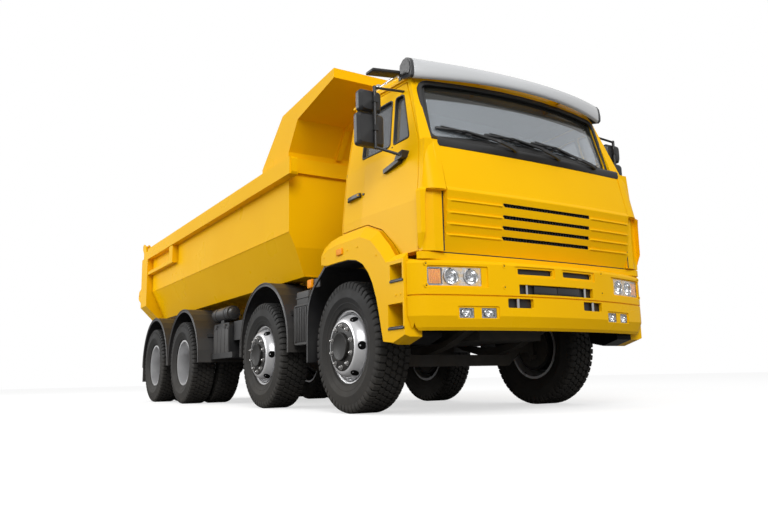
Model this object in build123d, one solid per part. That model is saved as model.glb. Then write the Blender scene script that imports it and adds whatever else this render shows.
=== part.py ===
from build123d import *
import math
import os

# Four-axle cab-over dump truck. All lengths in millimetres.
# Construction frame: x = 0 at the first axle, +X forward, +Y left, z = 0 on the ground.
# Every sub-part is moved at the end so that the origin sits at the middle of the footprint.

# ---------------------------------------------------------------- driving dimensions
FRONT_REACH = 1269.0          # first axle to the nose of the bumper
REAR_REACH = 6930.0           # first axle to the tip of the tailgate's lower lugs

# Axles and wheels
AXLE_2 = -1800.0
AXLE_3 = -4390.0
AXLE_4 = -5830.0
TYRE_R = 538.0
TYRE_HALF_WIDTH = 157.0
BEAD_R = 286.0                # bead seat radius of the rim
RIM_WALL = 9.0
RIM_HALF_WIDTH = 116.0        # middle of the rim to the outer face of its flange
FLANGE_LIP = 7.0
FLANGE_HEIGHT = 12.0
FRONT_WHEEL_Y = 1020.0        # centre plane of the steered wheels
TWIN_OUTER_Y = 1095.0         # centre plane of the outer twin
TWIN_SPACING = 345.0          # between the centre planes of the twins
DISC_THICK = 12.0
HUB_BORE_R = 46.0
SPINDLE_CLEARANCE = 1.0
HAND_HOLE_R = 30.0
HAND_HOLE_CIRCLE_R = 238.0
HAND_HOLES = 6

# Steering
KINGPIN_Y = 860.0
KINGPIN_R = 22.0
KINGPIN_CLEARANCE = 0.5
BEAM_EYE_R = 42.0
BEAM_EYE_HALF = 65.0
KNUCKLE_GAP = 5.0
DIFF_BOWL_R = 175.0
BOGIE_SEAT_Z = 604.0          # top of the driven axles' spring pads

# Frame
RAIL_OUTER_Y = 430.0
RAIL_FLANGE = 90.0
RAIL_TOP = 1000.0
RAIL_HEIGHT = 270.0
RAIL_WEB = 9.0
FRAME_FRONT = 850.0
FRAME_REAR = -6350.0
SUBFRAME_HEIGHT = 115.0
TOW_Z = 860.0
TOW_BORE_R = 20.5
SUBFRAME_FRONT = -1150.0

# Bed
BED_PLATE = 12.0
BED_HALF_WIDTH = 1160.0       # outer face of the side plates
BED_SLOPE_RUN = 195.0         # how far the lower sides lean in
BED_FLOOR_HALF = BED_HALF_WIDTH - BED_SLOPE_RUN
BED_FLOOR_Z = 1285.0          # underside of the floor
BED_CHINE_Z = 1712.0
BED_TOP_Z = 2410.0
BED_FRONT = -1130.0           # outer face of the front wall
BED_FRONT_FOOT = -1190.0
BED_FRONT_BEND_Z = 1565.0
GATE_REACH = 280.0            # rear ring to the tip of the tailgate's lugs
BED_REAR = GATE_REACH - REAR_REACH
TOP_RAIL_DEPTH = 90.0
TOP_RAIL_OUTER = BED_HALF_WIDTH + TOP_RAIL_DEPTH
BRACE_LENGTH = 1230.0         # rear brace: lower bar ahead of the post
BRACE_WIDTH = 180.0
BRACE_Z = 1985.0
BRACE_HEIGHT = 50.0
BRACE_INSET = 10.0
TOP_RAIL_HEIGHT = 170.0
TOP_RAIL_FRONT = -920.0
POST_LENGTH = 250.0
POST_KNEE_Z = 1490.0
BED_BEAM_GAP = 10.0           # free height between subframe and bed beams
CANOPY_FRONT = -140.0
CANOPY_PLATE = 12.0
TILT_X = -6200.0
TILT_Z = 1060.0
TILT_PIN_R = 30.0
PIN_CLEARANCE = 1.0

# Tailgate
GATE_GAP = 10.0
GATE_THICK = 120.0
GATE_HINGE_X = BED_REAR - 40.0
GATE_HINGE_Z = 2475.0

# Hoist
HOIST_X = -450.0
HOIST_Z = 1060.0
HOIST_EYE_X = -760.0
HOIST_EYE_Z = 2290.0
HOIST_BARREL_R = 112.0
HOIST_PIN_R = 30.0
HOIST_STEP = 12.0             # radius lost from one stage to the next
HOIST_GAP = 1.0
HOIST_STAGES = 5

# Cab: half widths are given at the four heights where its side bends
CAB_REAR = -12.0
CAB_HALF_WIDTH = 1200.0
CAB_FLOOR_Z = 1160.0
CAB_CREASE_Z = 1540.0
CAB_BELT_HALF = 1152.0
CAB_BELT_Z = 1980.0
CAB_GUTTER_HALF = 1045.0
CAB_GUTTER_Z = 2592.0
CAB_ROOF_Z = 2760.0
CAB_WALL = 60.0
CAB_FRONT = 1100.0            # flat wall of the lower cab, behind the front panel
TAPER_X = 350.0               # ahead of this the sides lean in, seen from above
TAPER = 0.0714
CORNER_LENGTH = 45.0          # rear corners, rounded off by this much along the truck
CORNER_LEAN = 0.6
ARCH_FLOOR_X = 640.0          # behind this the floor steps up over the front wheels
ARCH_FLOOR_Z = 1290.0
POST_Y = 975.0                # gap line between front panel and corner post
PANEL_TOP_Z = 1955.0
RIDGE_Z = 1600.0              # foot of the ridge across front panel and corner posts
WINDSHIELD_BOW_R = 3430.0
WINDSHIELD_FOOT_X = 1150.0
WINDSHIELD_HEAD_X = 985.0
WINDSHIELD_HEAD_Z = 2590.0
WINDSHIELD_HALF = 985.0
GLASS_INSET = 24.0
GLASS_THICK = 6.0
SEAL_PROUD = 10.0
PANEL_BOW_R = 16700.0
COWL_BOW_R = 5500.0
VISOR_BOW_R = 2570.0
VISOR_HALF = 1030.0

# Wipers: (pivot, blade root, blade tip) across the truck
WIPERS = ((-264, -500, -925), (201, -12, -515), (648, 417, -40))

# Doors
DOOR_REAR = 50.0
DOOR_FRONT = 1050.0
DOOR_GAP = 8.0
DOOR_RELIEF = 16.0            # the door's rear edge leans in by this much at the gutter
DOOR_AXIS_X = DOOR_FRONT + 12.0
DOOR_HINGE_LEVELS = (1225.0, 1485.0)
DOOR_HINGE_HALF = 30.0
DOOR_PIN_R = 5.0
DOOR_KNUCKLE_R = 11.0

# Bumper
BUMPER_BOW_R = 3840.0
BUMPER_TOP = 1100.0
BUMPER_BOTTOM = 600.0
BUMPER_SEAM_Z = 846.0
BUMPER_TURN_Y = 1100.0        # the bow ends here and the corner begins
BUMPER_BACK_X = FRONT_REACH - 259.0
BUMPER_HALF_WIDTH = 1228.0
BUMPER_WALL = 30.0
LAMP_BACK = 95.0

# Lamps: (y, z) openings on one side, with the round bowls as (y, radius)
HEADLAMP = ((703, 1112), (914, 1046))
HEADLAMP_BOWLS = ((-779, 56), (-931, 56))
LAMP_BOWL_Z = 980.0
FOG_LAMPS = (((589, 713), (685, 758)), ((772, 886), (685, 758)))

# Fenders and step pods: steps as (x, z) openings
FENDER_OUTER = 1250.0
FENDER_INNER = 1208.0
POD_STEPS = (((792, 985), (618, 800)), ((826, 985), (955, 1085)))
GUARD_SKIN = 12.0

# ---------------------------------------------------------------- derived places
ORIGIN_X = (REAR_REACH - FRONT_REACH) / 2
RAIL_BOTTOM = RAIL_TOP - RAIL_HEIGHT
SUBFRAME_TOP = RAIL_TOP + SUBFRAME_HEIGHT
BED_BEAM_BOTTOM = SUBFRAME_TOP + BED_BEAM_GAP
STEERED_AXLES = (("1", 0.0), ("2", AXLE_2))
DRIVEN_AXLES = (("3", AXLE_3), ("4", AXLE_4))
SIDES = (("right", -1), ("left", 1))


# ---------------------------------------------------------------- shape helpers
def span_box(x, y, z):
    """Box between the low and high values given for each axis."""
    size = Box(x[1] - x[0], y[1] - y[0], z[1] - z[0])
    return Pos((x[0] + x[1]) / 2, (y[0] + y[1]) / 2, (z[0] + z[1]) / 2) * size


def polygon(points):
    """Flat face inside a closed outline."""
    return make_face(Polyline(*points, close=True))


def side_prism(points, y):
    """Outline drawn in side view as (x, z), reaching from y[0] to y[1]."""
    face = Plane.XZ * polygon(points)
    return Pos(0, y[0], 0) * extrude(face, amount=y[1] - y[0], dir=(0, 1, 0))


def front_prism(points, x):
    """Outline drawn in front view as (y, z), reaching from x[0] to x[1]."""
    face = Plane.YZ * polygon(points)
    return Pos(x[0], 0, 0) * extrude(face, amount=x[1] - x[0], dir=(1, 0, 0))


def plan_prism(points, z):
    """Outline drawn in plan view as (x, y), reaching from z[0] to z[1]."""
    return Pos(0, 0, z[0]) * extrude(polygon(points), amount=z[1] - z[0])


def bowed(points, bow_radius, nose_x, half_angle=24.0):
    """Side-view outline (x, z) swept along a plan arc whose foremost point is nose_x."""
    axis = Axis((nose_x - bow_radius, 0, 0), (0, 0, 1))
    face = (Plane.XZ * polygon(points)).rotate(axis, -half_angle)
    return revolve(face, axis=axis, revolution_arc=2 * half_angle)


def turned(profile, centre):
    """Profile of (radius, y) points revolved about the wheel line through centre."""
    return Pos(*centre) * revolve(polygon(profile), axis=Axis.Y)


def y_rod(radius, x, y, z):
    """Cylinder along Y between y[0] and y[1]."""
    length = y[1] - y[0]
    return Pos(x, (y[0] + y[1]) / 2, z) * Rot(90, 0, 0) * Cylinder(radius, length)


def z_rod(radius, x, y, z):
    """Upright cylinder between z[0] and z[1]."""
    return Pos(x, y, (z[0] + z[1]) / 2) * Cylinder(radius, z[1] - z[0])


def x_rod(radius, x, y, z):
    """Cylinder along X between x[0] and x[1]."""
    return Pos((x[0] + x[1]) / 2, y, z) * Rot(0, 90, 0) * Cylinder(radius, x[1] - x[0])


def rod_between(radius, start, end):
    """Round rod from one point to another."""
    line = Line(start, end)
    return extrude(Plane(origin=start, z_dir=line % 0) * Circle(radius), amount=line.length)


def rounded(points, radius):
    """Flat face inside a closed outline whose corners are rounded."""
    face = polygon(points)
    return fillet(face.vertices(), radius)


def through_side(face, y):
    """Side-view face (x, z) reaching from y[0] to y[1]."""
    return Pos(0, y[0], 0) * extrude(Plane.XZ * face, amount=y[1] - y[0], dir=(0, 1, 0))


def through_front(face, x):
    """Front-view face (y, z) reaching from x[0] to x[1]."""
    return Pos(x[0], 0, 0) * extrude(Plane.YZ * face, amount=x[1] - x[0], dir=(1, 0, 0))


def plan_loft(outlines):
    """Solid through plan outlines (z, points), one over the other."""
    return loft([Pos(0, 0, z) * polygon(points) for z, points in outlines], ruled=True)


def other_side(shape):
    """The same shape across the truck's centre plane."""
    return mirror(shape, about=Plane.XZ)


def both_sides(shape):
    """A shape and its mirror image across the centre plane."""
    return shape + other_side(shape)


def on_side(shape_right, side):
    """A shape drawn for the right side, put on the side asked for."""
    return shape_right if side < 0 else other_side(shape_right)


# ---------------------------------------------------------------- wheels
def tyre_ring(centre_y, axle_x):
    """Tyre with flat tread, rounded shoulders and bulging sidewalls."""
    half = TYRE_HALF_WIDTH
    bead = RIM_HALF_WIDTH - FLANGE_LIP - 1
    right = [
        (BEAD_R, bead - 8), (BEAD_R + FLANGE_HEIGHT, bead), (BEAD_R + 50, half - 24), (TYRE_R - 120, half),
        (TYRE_R - 42, half - 6), (TYRE_R - 10, half - 22), (TYRE_R, half - 42),
    ]
    left = [(radius, -width) for radius, width in reversed(right)]
    return turned(right + left, (axle_x, centre_y, TYRE_R))


def rim_barrel(centre_y, axle_x):
    """Rim barrel with a lip at each edge."""
    seat = BEAD_R - 0.5
    inner = seat - RIM_WALL
    half = RIM_HALF_WIDTH
    barrel = [
        (inner, half), (BEAD_R + FLANGE_HEIGHT, half), (BEAD_R + FLANGE_HEIGHT, half - FLANGE_LIP),
        (seat, half - FLANGE_LIP), (seat, FLANGE_LIP - half), (BEAD_R + FLANGE_HEIGHT, FLANGE_LIP - half),
        (BEAD_R + FLANGE_HEIGHT, -half), (inner, -half),
    ]
    return turned(barrel, (axle_x, centre_y, TYRE_R))


def hand_holes(centre_y, axle_x):
    """Ring of round hand holes through a wheel disc."""
    drills = [
        Pos(axle_x, centre_y, TYRE_R) * Rot(0, turn * 360 / HAND_HOLES, 0) * Pos(HAND_HOLE_CIRCLE_R, 0, 0)
        * Rot(90, 0, 0) * Cylinder(HAND_HOLE_R, 2 * TYRE_HALF_WIDTH)
        for turn in range(HAND_HOLES)
    ]
    return drills


def front_rim(axle_x):
    """Right steered wheel: rim, outset disc with hand holes, hub and brake drum."""
    barrel_inner = BEAD_R - 0.5 - RIM_WALL
    disc = [
        (HUB_BORE_R, -100), (200, -100), (222, -88), (barrel_inner + 1, -50),
        (barrel_inner + 1, -50 + DISC_THICK), (218, -88 + DISC_THICK), (196, -100 + DISC_THICK),
        (HUB_BORE_R, -100 + DISC_THICK),
    ]
    drum = [(205, -88), (217, -88), (217, 100), (205, 100)]
    hub = [(0, -172), (80, -172), (112, -158), (112, -118), (200, -118), (200, -100), (75, -88), (75, 60),
           (HUB_BORE_R, 60), (HUB_BORE_R, -100), (0, -100)]
    rim = rim_barrel(-FRONT_WHEEL_Y, axle_x)
    centre = (axle_x, -FRONT_WHEEL_Y, TYRE_R)
    rim = rim + turned(disc, centre) - hand_holes(-FRONT_WHEEL_Y, axle_x)
    return rim + turned(drum, centre) + turned(hub, centre)


def twin_rim(axle_x):
    """Right twin wheel: two rims whose deep discs meet between them, with hub and drum."""
    middle_y = -(TWIN_OUTER_Y - TWIN_SPACING / 2)
    half_gap = TWIN_SPACING / 2
    barrel_inner = BEAD_R - 0.5 - RIM_WALL
    disc = [
        (100, 0), (196, 0), (222, -20), (barrel_inner + 1, -half_gap + 60),
        (barrel_inner + 1, -half_gap + 60 - DISC_THICK), (226, -20 - DISC_THICK), (198, -DISC_THICK),
        (100, -DISC_THICK),
    ]
    centre = (axle_x, middle_y, TYRE_R)
    outer = turned(disc, centre) - hand_holes(middle_y, axle_x)
    inner = turned([(radius, -along) for radius, along in disc], centre)
    hub = [(HUB_BORE_R + 14, 250), (110, 250), (110, -60), (118, -60), (118, -150), (96, -165), (0, -165),
           (0, -140), (HUB_BORE_R + 14, -140)]
    drum = [(100, DISC_THICK), (205, DISC_THICK), (205, 200), (193, 200), (193, DISC_THICK + 12),
            (100, DISC_THICK + 12)]
    rims = rim_barrel(-TWIN_OUTER_Y, axle_x) + rim_barrel(TWIN_SPACING - TWIN_OUTER_Y, axle_x)
    return rims + outer + inner + turned(hub, centre) + turned(drum, centre)


def knuckle(axle_x):
    """Right steering knuckle: forked body with its kingpin, brake plate and spindle."""
    spindle_r = HUB_BORE_R - SPINDLE_CLEARANCE
    ear_low = BEAM_EYE_HALF + KNUCKLE_GAP
    ear_high = ear_low + 45
    plate_y = -(KINGPIN_Y + BEAM_EYE_R + KNUCKLE_GAP)
    ears = [
        span_box((-48, 48), (plate_y, -KINGPIN_Y + 48), (low, high))
        for low, high in ((ear_low, ear_high), (-ear_high, -ear_low))
    ]
    body = Pos(0, 0, 0) * span_box((-48, 48), (plate_y - 14, plate_y), (-ear_high, ear_high))
    body = body + ears + y_rod(190, 0, (plate_y - 14, plate_y - 4), 0)
    body = body + y_rod(spindle_r, 0, (-FRONT_WHEEL_Y - 92, plate_y), 0)
    body = body + z_rod(KINGPIN_R, 0, -KINGPIN_Y, (-ear_high - 8, ear_high + 8))
    return Pos(axle_x, 0, TYRE_R) * body


# ---------------------------------------------------------------- chassis
def frame_rails():
    """Ladder frame's two channel rails with the subframe rails and tilt pins on top."""
    inner_y = RAIL_OUTER_Y - RAIL_FLANGE
    channel = [
        (-RAIL_OUTER_Y, RAIL_BOTTOM), (-inner_y, RAIL_BOTTOM), (-inner_y, RAIL_BOTTOM + RAIL_WEB),
        (-RAIL_OUTER_Y + RAIL_WEB, RAIL_BOTTOM + RAIL_WEB), (-RAIL_OUTER_Y + RAIL_WEB, RAIL_TOP - RAIL_WEB),
        (-inner_y, RAIL_TOP - RAIL_WEB), (-inner_y, RAIL_TOP), (-RAIL_OUTER_Y, RAIL_TOP),
    ]
    rail = front_prism(channel, (FRAME_REAR, FRAME_FRONT))
    subframe = span_box((TILT_X + 120, SUBFRAME_FRONT), (-RAIL_OUTER_Y, -inner_y - 20), (RAIL_TOP, SUBFRAME_TOP))
    bracket = side_prism(
        [(TILT_X - 90, RAIL_TOP), (TILT_X + 90, RAIL_TOP), (TILT_X + 36, TILT_Z + 20), (TILT_X, TILT_Z + 40),
         (TILT_X - 36, TILT_Z + 20)], (-inner_y - 60, -inner_y))
    pin = y_rod(TILT_PIN_R, TILT_X, (-RAIL_OUTER_Y - 75, -inner_y), TILT_Z)
    return both_sides(rail + subframe + bracket + pin)


def cross_members():
    """Cross-members, hoist cradle, rear hitch with its jaw, bumper brackets and cab mounts."""
    reach = RAIL_OUTER_Y - RAIL_WEB
    levels = (RAIL_BOTTOM + RAIL_WEB, RAIL_TOP - RAIL_WEB)
    middle_x = (AXLE_3 + AXLE_4) / 2
    members = Part() + [
        span_box((member_x - 40, member_x + 40), (-reach, reach), levels)
        for member_x in (FRAME_FRONT - 60, SUBFRAME_FRONT + 250, -2700, -3500, middle_x, FRAME_REAR + 60)
    ]
    cradle = span_box((HOIST_X - 70, HOIST_X + 70), (-reach, reach), (HOIST_Z - 190, HOIST_Z - 120))
    cheek = side_prism(
        [(HOIST_X - 70, HOIST_Z - 140), (HOIST_X + 70, HOIST_Z - 140), (HOIST_X + 40, HOIST_Z + 40),
         (HOIST_X - 40, HOIST_Z + 40)], (-HOIST_BARREL_R - 45, -HOIST_BARREL_R - 20))
    cheek = cheek - y_rod(HOIST_PIN_R + PIN_CLEARANCE, HOIST_X, (-HOIST_BARREL_R - 60, 0), HOIST_Z)
    jaws = [span_box((FRAME_REAR - 105, FRAME_REAR), (-70, 70), (low, low + 22)) for low in (TOW_Z - 57, TOW_Z + 35)]
    tow_bore = z_rod(TOW_BORE_R, FRAME_REAR - 60, 0, (TOW_Z - 100, TOW_Z + 100))
    hitch = span_box((FRAME_REAR - 15, FRAME_REAR), (-reach - RAIL_WEB, reach + RAIL_WEB), (RAIL_BOTTOM, RAIL_TOP))
    front_mount = span_box((700, 780), (-RAIL_OUTER_Y, 70 - RAIL_OUTER_Y), (RAIL_TOP, CAB_FLOOR_Z))
    rear_mount = span_box((40, 120), (-RAIL_OUTER_Y, 70 - RAIL_OUTER_Y), (RAIL_TOP, ARCH_FLOOR_Z))
    cab_mounts = both_sides(front_mount + rear_mount)
    return members + (cradle + both_sides(cheek)) + (hitch + jaws - tow_bore) + bumper_brackets() + cab_mounts


def front_axles():
    """Two dropped axle beams with kingpin eyes at their ends."""
    axles = []
    for _, axle_x in STEERED_AXLES:
        drop = TYRE_R - 170
        half = [
            (0, drop), (-560, drop), (-700, TYRE_R - 50), (-KINGPIN_Y + 10, TYRE_R - 50),
            (-KINGPIN_Y + 10, TYRE_R + 50), (-660, TYRE_R + 50), (-540, drop + 100), (0, drop + 100),
        ]
        beam = both_sides(front_prism(half, (axle_x - 38, axle_x + 38)))
        eye = z_rod(BEAM_EYE_R, axle_x, -KINGPIN_Y, (TYRE_R - BEAM_EYE_HALF, TYRE_R + BEAM_EYE_HALF))
        bore = z_rod(KINGPIN_R + KINGPIN_CLEARANCE, axle_x, -KINGPIN_Y, (0, 2 * TYRE_R))
        axles.append(beam + both_sides(eye) - both_sides(bore))
    return axles[0] + axles[1]


def rear_axles():
    """Two driven axles with differential bowls and the shafts that join them."""
    axles = []
    tube_r = HUB_BORE_R + 14 - SPINDLE_CLEARANCE
    for _, axle_x in DRIVEN_AXLES:
        tube = y_rod(tube_r, axle_x, (-TWIN_OUTER_Y + 40, TWIN_OUTER_Y - 40), TYRE_R)
        bowl = Pos(axle_x, 0, TYRE_R) * Sphere(DIFF_BOWL_R)
        nose = x_rod(110, (axle_x, axle_x + 330), 0, TYRE_R + 20)
        pads = both_sides(span_box((axle_x - 62, axle_x + 62), (-RAIL_OUTER_Y, -RAIL_OUTER_Y + RAIL_FLANGE),
                                   (TYRE_R - 55, BOGIE_SEAT_Z)))
        axles.append(tube + bowl + nose + pads)
    link = x_rod(45, (AXLE_4 + 330, AXLE_3 - 150), 0, TYRE_R + 20)
    shaft = x_rod(50, (AXLE_3 + 330, -1320), 0, TYRE_R + 20)
    return axles[0] + axles[1] + link + shaft


def leaf_pack(axle_x, half_length, seat_z, camber, thickness):
    """Arched pack of leaves in side view, under the right rail."""
    ends_z = seat_z + camber
    outline = [
        (axle_x - half_length, ends_z), (axle_x - half_length / 2, seat_z + camber * 0.28), (axle_x - 120, seat_z),
        (axle_x + 120, seat_z), (axle_x + half_length / 2, seat_z + camber * 0.28), (axle_x + half_length, ends_z),
        (axle_x + half_length, ends_z + 22), (axle_x + half_length / 2, seat_z + camber * 0.28 + thickness * 0.7),
        (axle_x + 120, seat_z + thickness), (axle_x - 120, seat_z + thickness),
        (axle_x - half_length / 2, seat_z + camber * 0.28 + thickness * 0.7), (axle_x - half_length, ends_z + 22),
    ]
    return side_prism(outline, (-RAIL_OUTER_Y, -RAIL_OUTER_Y + RAIL_FLANGE))


def springs():
    """Leaf springs of the steered axles and the balance springs of the rear bogie."""
    seat = TYRE_R - 70
    packs = [leaf_pack(axle_x, 720, seat, 190, 70) for _, axle_x in STEERED_AXLES]
    hanger = [
        side_prism([(x - 60, RAIL_BOTTOM), (x + 60, RAIL_BOTTOM), (x + 30, seat + 170), (x - 30, seat + 170)],
                   (-RAIL_OUTER_Y, -RAIL_OUTER_Y + RAIL_FLANGE))
        for _, axle_x in STEERED_AXLES for x in (axle_x - 690, axle_x + 690)
    ]
    bogie_x = (AXLE_3 + AXLE_4) / 2
    bogie = leaf_pack(bogie_x, 775, BOGIE_SEAT_Z, 0, 118)
    saddle = span_box((bogie_x - 110, bogie_x + 110), (-RAIL_OUTER_Y, -RAIL_OUTER_Y + RAIL_FLANGE),
                      (TYRE_R - 60, RAIL_BOTTOM))
    right = packs[0] + packs[1] + hanger + bogie + saddle
    return both_sides(right)


def engine_block():
    """Engine and gearbox as plain blocks between the rails."""
    engine = span_box((-330, 700), (-330, 330), (560, 1120))
    gearbox = span_box((-1300, -330), (-200, 200), (470, RAIL_BOTTOM - 5))
    mount_y = RAIL_OUTER_Y - RAIL_WEB
    mounts = [span_box((x, x + 90), (-mount_y, mount_y), (800, 860)) for x in (-240, 480)]
    return engine + gearbox + mounts


# ---------------------------------------------------------------- cab
def side_half(x, z, inset=0.0):
    """Half width of the cab at a place on its side."""
    heights = (CAB_FLOOR_Z, CAB_CREASE_Z, CAB_BELT_Z, CAB_GUTTER_Z)
    halves = (CAB_HALF_WIDTH, CAB_HALF_WIDTH, CAB_BELT_HALF, CAB_GUTTER_HALF)
    half = halves[-1]
    for low, high, low_half, high_half in zip(heights, heights[1:], halves, halves[1:]):
        if low <= z <= high:
            half = low_half + (high_half - low_half) * (z - low) / (high - low)
    return half - inset - max(0.0, x - TAPER_X) * TAPER


def tapered(points):
    """Right half section (y, z) carried along the cab, with its plan taper and rear corners."""
    reach = FRONT_REACH - TAPER_X
    face = Plane.YZ * polygon(points)
    front = extrude(face, amount=reach * math.hypot(1, TAPER), dir=(1, TAPER, 0))
    rear = extrude(face, amount=CORNER_LENGTH * math.hypot(1, CORNER_LEAN), dir=(-1, CORNER_LEAN, 0))
    corner_x = CAB_REAR + CORNER_LENGTH
    right = Pos(TAPER_X, 0, 0) * front + front_prism(points, (corner_x, TAPER_X)) + Pos(corner_x, 0, 0) * rear
    return both_sides(right)


def cab_tube(inset):
    """The cab's front-view section carried along the truck, drawn in by inset."""
    gutter = CAB_GUTTER_HALF - inset
    return tapered([
        (0, CAB_FLOOR_Z + inset), (inset - CAB_HALF_WIDTH, CAB_FLOOR_Z + inset),
        (inset - CAB_HALF_WIDTH, CAB_CREASE_Z), (inset - CAB_BELT_HALF, CAB_BELT_Z), (-gutter, CAB_GUTTER_Z),
        (15 - gutter, CAB_GUTTER_Z + 50), (60 - gutter, CAB_ROOF_Z - inset - 66), (150 - gutter, CAB_ROOF_Z - inset - 34),
        (400 - gutter, CAB_ROOF_Z - inset - 8), (0, CAB_ROOF_Z - inset),
    ])


def glazed_block(inset):
    """Bowed block whose front carries the windshield, with the curved roof edge above it."""
    back = CAB_REAR - 600
    foot = WINDSHIELD_FOOT_X - inset
    head = WINDSHIELD_HEAD_X - inset
    return bowed(
        [(back, CAB_BELT_Z), (foot, CAB_BELT_Z), (head, WINDSHIELD_HEAD_Z), (head - 36, 2664), (head - 96, 2724),
         (head - 190, CAB_ROOF_Z), (back, CAB_ROOF_Z)], WINDSHIELD_BOW_R, foot)


def corner_post(lean_back):
    """Plan outline of the right corner post; lean_back moves its front face rearward."""
    face = 1192 - lean_back
    z = RIDGE_Z + lean_back * (CAB_BELT_Z - RIDGE_Z) / 76
    side_y = side_half(DOOR_FRONT + DOOR_GAP, z)
    return [
        (CAB_FRONT - 70, -POST_Y), (face - 14, -POST_Y), (face - 16, -1020), (face - 34, 56 - side_y),
        (face - 70, 18 - side_y), (DOOR_FRONT + DOOR_GAP, -side_y), (CAB_FRONT - 70, -side_y),
    ]


def cab_body(inset):
    """Outer form of the cab without its corner posts, drawn in by inset on every side."""
    half = CAB_HALF_WIDTH - inset
    lower = span_box((CAB_REAR + inset, CAB_FRONT - inset), (-half, half), (CAB_FLOOR_Z, CAB_BELT_Z + 20))
    middle = span_box((CAB_REAR + inset, FRONT_REACH), (inset - WINDSHIELD_HALF, WINDSHIELD_HALF - inset),
                      (CAB_BELT_Z, CAB_ROOF_Z))
    pillar = side_prism(
        [(CAB_REAR + inset, CAB_BELT_Z), (1046 - inset, CAB_BELT_Z), (1040 - inset, 2012), (822 - inset, CAB_GUTTER_Z),
         (760 - inset, CAB_ROOF_Z - 60), (700 - inset, CAB_ROOF_Z), (CAB_REAR + inset, CAB_ROOF_Z)], (-half, half))
    screen_gap = span_box((600, FRONT_REACH), (inset - WINDSHIELD_HALF, WINDSHIELD_HALF - inset),
                          (CAB_BELT_Z + 20, CAB_ROOF_Z))
    roof_line = side_prism(
        [(CAB_REAR, CAB_FLOOR_Z), (FRONT_REACH, CAB_FLOOR_Z), (FRONT_REACH, CAB_ROOF_Z), (480, CAB_ROOF_Z),
         (CAB_REAR + 60, CAB_ROOF_Z - 52 - inset / 4), (CAB_REAR, CAB_ROOF_Z - 90)], (-half, half))
    step = span_box((CAB_REAR, ARCH_FLOOR_X + inset), (-half, half), (CAB_FLOOR_Z, ARCH_FLOOR_Z + inset))
    return cab_tube(inset) & roof_line & (lower - step + (glazed_block(inset) & middle) + (pillar - screen_gap))


def door_outline(margin, relief=0.0):
    """Side-view outline of the door, grown by margin, its lower edge following the fender."""
    rear = DOOR_REAR - margin
    front = DOOR_FRONT + margin
    low = CAB_FLOOR_Z + 6 - margin
    return [
        (rear, 1470 - margin), (434 - margin / 4, 1470 - margin), (628 - margin / 2, 1395 - margin),
        (770 - margin, 1262 - margin / 2), (846 - margin, low), (front, low), (front, 1700),
        (1028 + margin, 1990), (780 + margin, 2556 + margin), (rear + relief, 2556 + margin), (rear, CAB_BELT_Z),
    ]


def door_windows(margin):
    """Side-view faces of the door's main window and of its vent window, grown by margin."""
    main = [(275 - margin, 2040 - margin), (672 + margin, 2044 - margin), (622 + margin, 2466 + margin),
            (240 - margin, 2452 + margin)]
    vent = [(704 - margin, 2046 - margin), (914 + margin, 2054 - margin), (768 + margin, 2464 + margin),
            (655 - margin, 2466 + margin)]
    return rounded(main, 28), rounded(vent, 22)


def windshield_face(margin):
    """Front-view face of the windshield, grown by margin."""
    outline = [(-968 - margin, 2046 - margin), (968 + margin, 2046 - margin), (948 + margin, 2556 + margin),
               (-948 - margin, 2556 + margin)]
    return rounded(outline, 70 + margin)


def rear_window_face():
    """Front-view face of the window in the cab's rear wall."""
    return rounded([(-520, 2080), (520, 2080), (500, 2420), (-500, 2420)], 60)


def side_wall(thickness):
    """Both side walls of the cab, below the gutter."""
    def half_section(inset):
        return [(0, CAB_FLOOR_Z), (inset - CAB_HALF_WIDTH, CAB_FLOOR_Z), (inset - CAB_HALF_WIDTH, CAB_CREASE_Z),
                (inset - CAB_BELT_HALF, CAB_BELT_Z), (inset - CAB_GUTTER_HALF, CAB_GUTTER_Z), (0, CAB_GUTTER_Z)]
    return tapered(half_section(0)) - tapered(half_section(thickness))


def cab_shell():
    """Hollow cab with corner posts, gutters, door openings and window openings."""
    shell = cab_body(0) - cab_body(CAB_WALL)
    posts = plan_loft([(RIDGE_Z, corner_post(0)), (CAB_BELT_Z + 4, corner_post(76))])
    post_foot = plan_prism([(CAB_FRONT - 70, -POST_Y), (1136, -POST_Y), (1130, -1060), (1100, -1120),
                            (DOOR_FRONT + DOOR_GAP, -side_half(DOOR_FRONT + DOOR_GAP, CAB_CREASE_Z)),
                            (CAB_FRONT - 70, -side_half(DOOR_FRONT + DOOR_GAP, CAB_CREASE_Z))],
                           (CAB_FLOOR_Z, RIDGE_Z))
    gutter_x = (CAB_REAR + 20, 790)
    gutter = plan_prism([(x, 12 - side_half(x, CAB_GUTTER_Z)) for x in (gutter_x[0], TAPER_X, gutter_x[1])]
                        + [(x, -16 - side_half(x, CAB_GUTTER_Z)) for x in (gutter_x[1], TAPER_X, gutter_x[0])],
                        (CAB_GUTTER_Z - 8, CAB_GUTTER_Z + 12))
    shell = shell + both_sides(posts + (post_foot & cab_tube(0))) + both_sides(gutter)
    axis_y = -side_half(DOOR_AXIS_X, CAB_CREASE_Z)
    for level in DOOR_HINGE_LEVELS:
        reach = DOOR_HINGE_HALF + PIN_CLEARANCE
        pocket = z_rod(DOOR_KNUCKLE_R + 6, DOOR_AXIS_X, axis_y, (level - reach, level + reach))
        pin = z_rod(DOOR_PIN_R, DOOR_AXIS_X, axis_y, (level - reach - 14, level + reach + 14))
        shell = (shell - both_sides(pocket)) + both_sides(pin)
    doorway = side_wall(CAB_WALL + 1.5 * DOOR_GAP) & side_prism(door_outline(DOOR_GAP), (-FRONT_REACH, 0))
    shell = shell - both_sides(doorway) - through_front(windshield_face(0), (CAB_WALL + 600, FRONT_REACH))
    return shell - through_front(rear_window_face(), (CAB_REAR, CAB_REAR + 2 * CAB_WALL))


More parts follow.
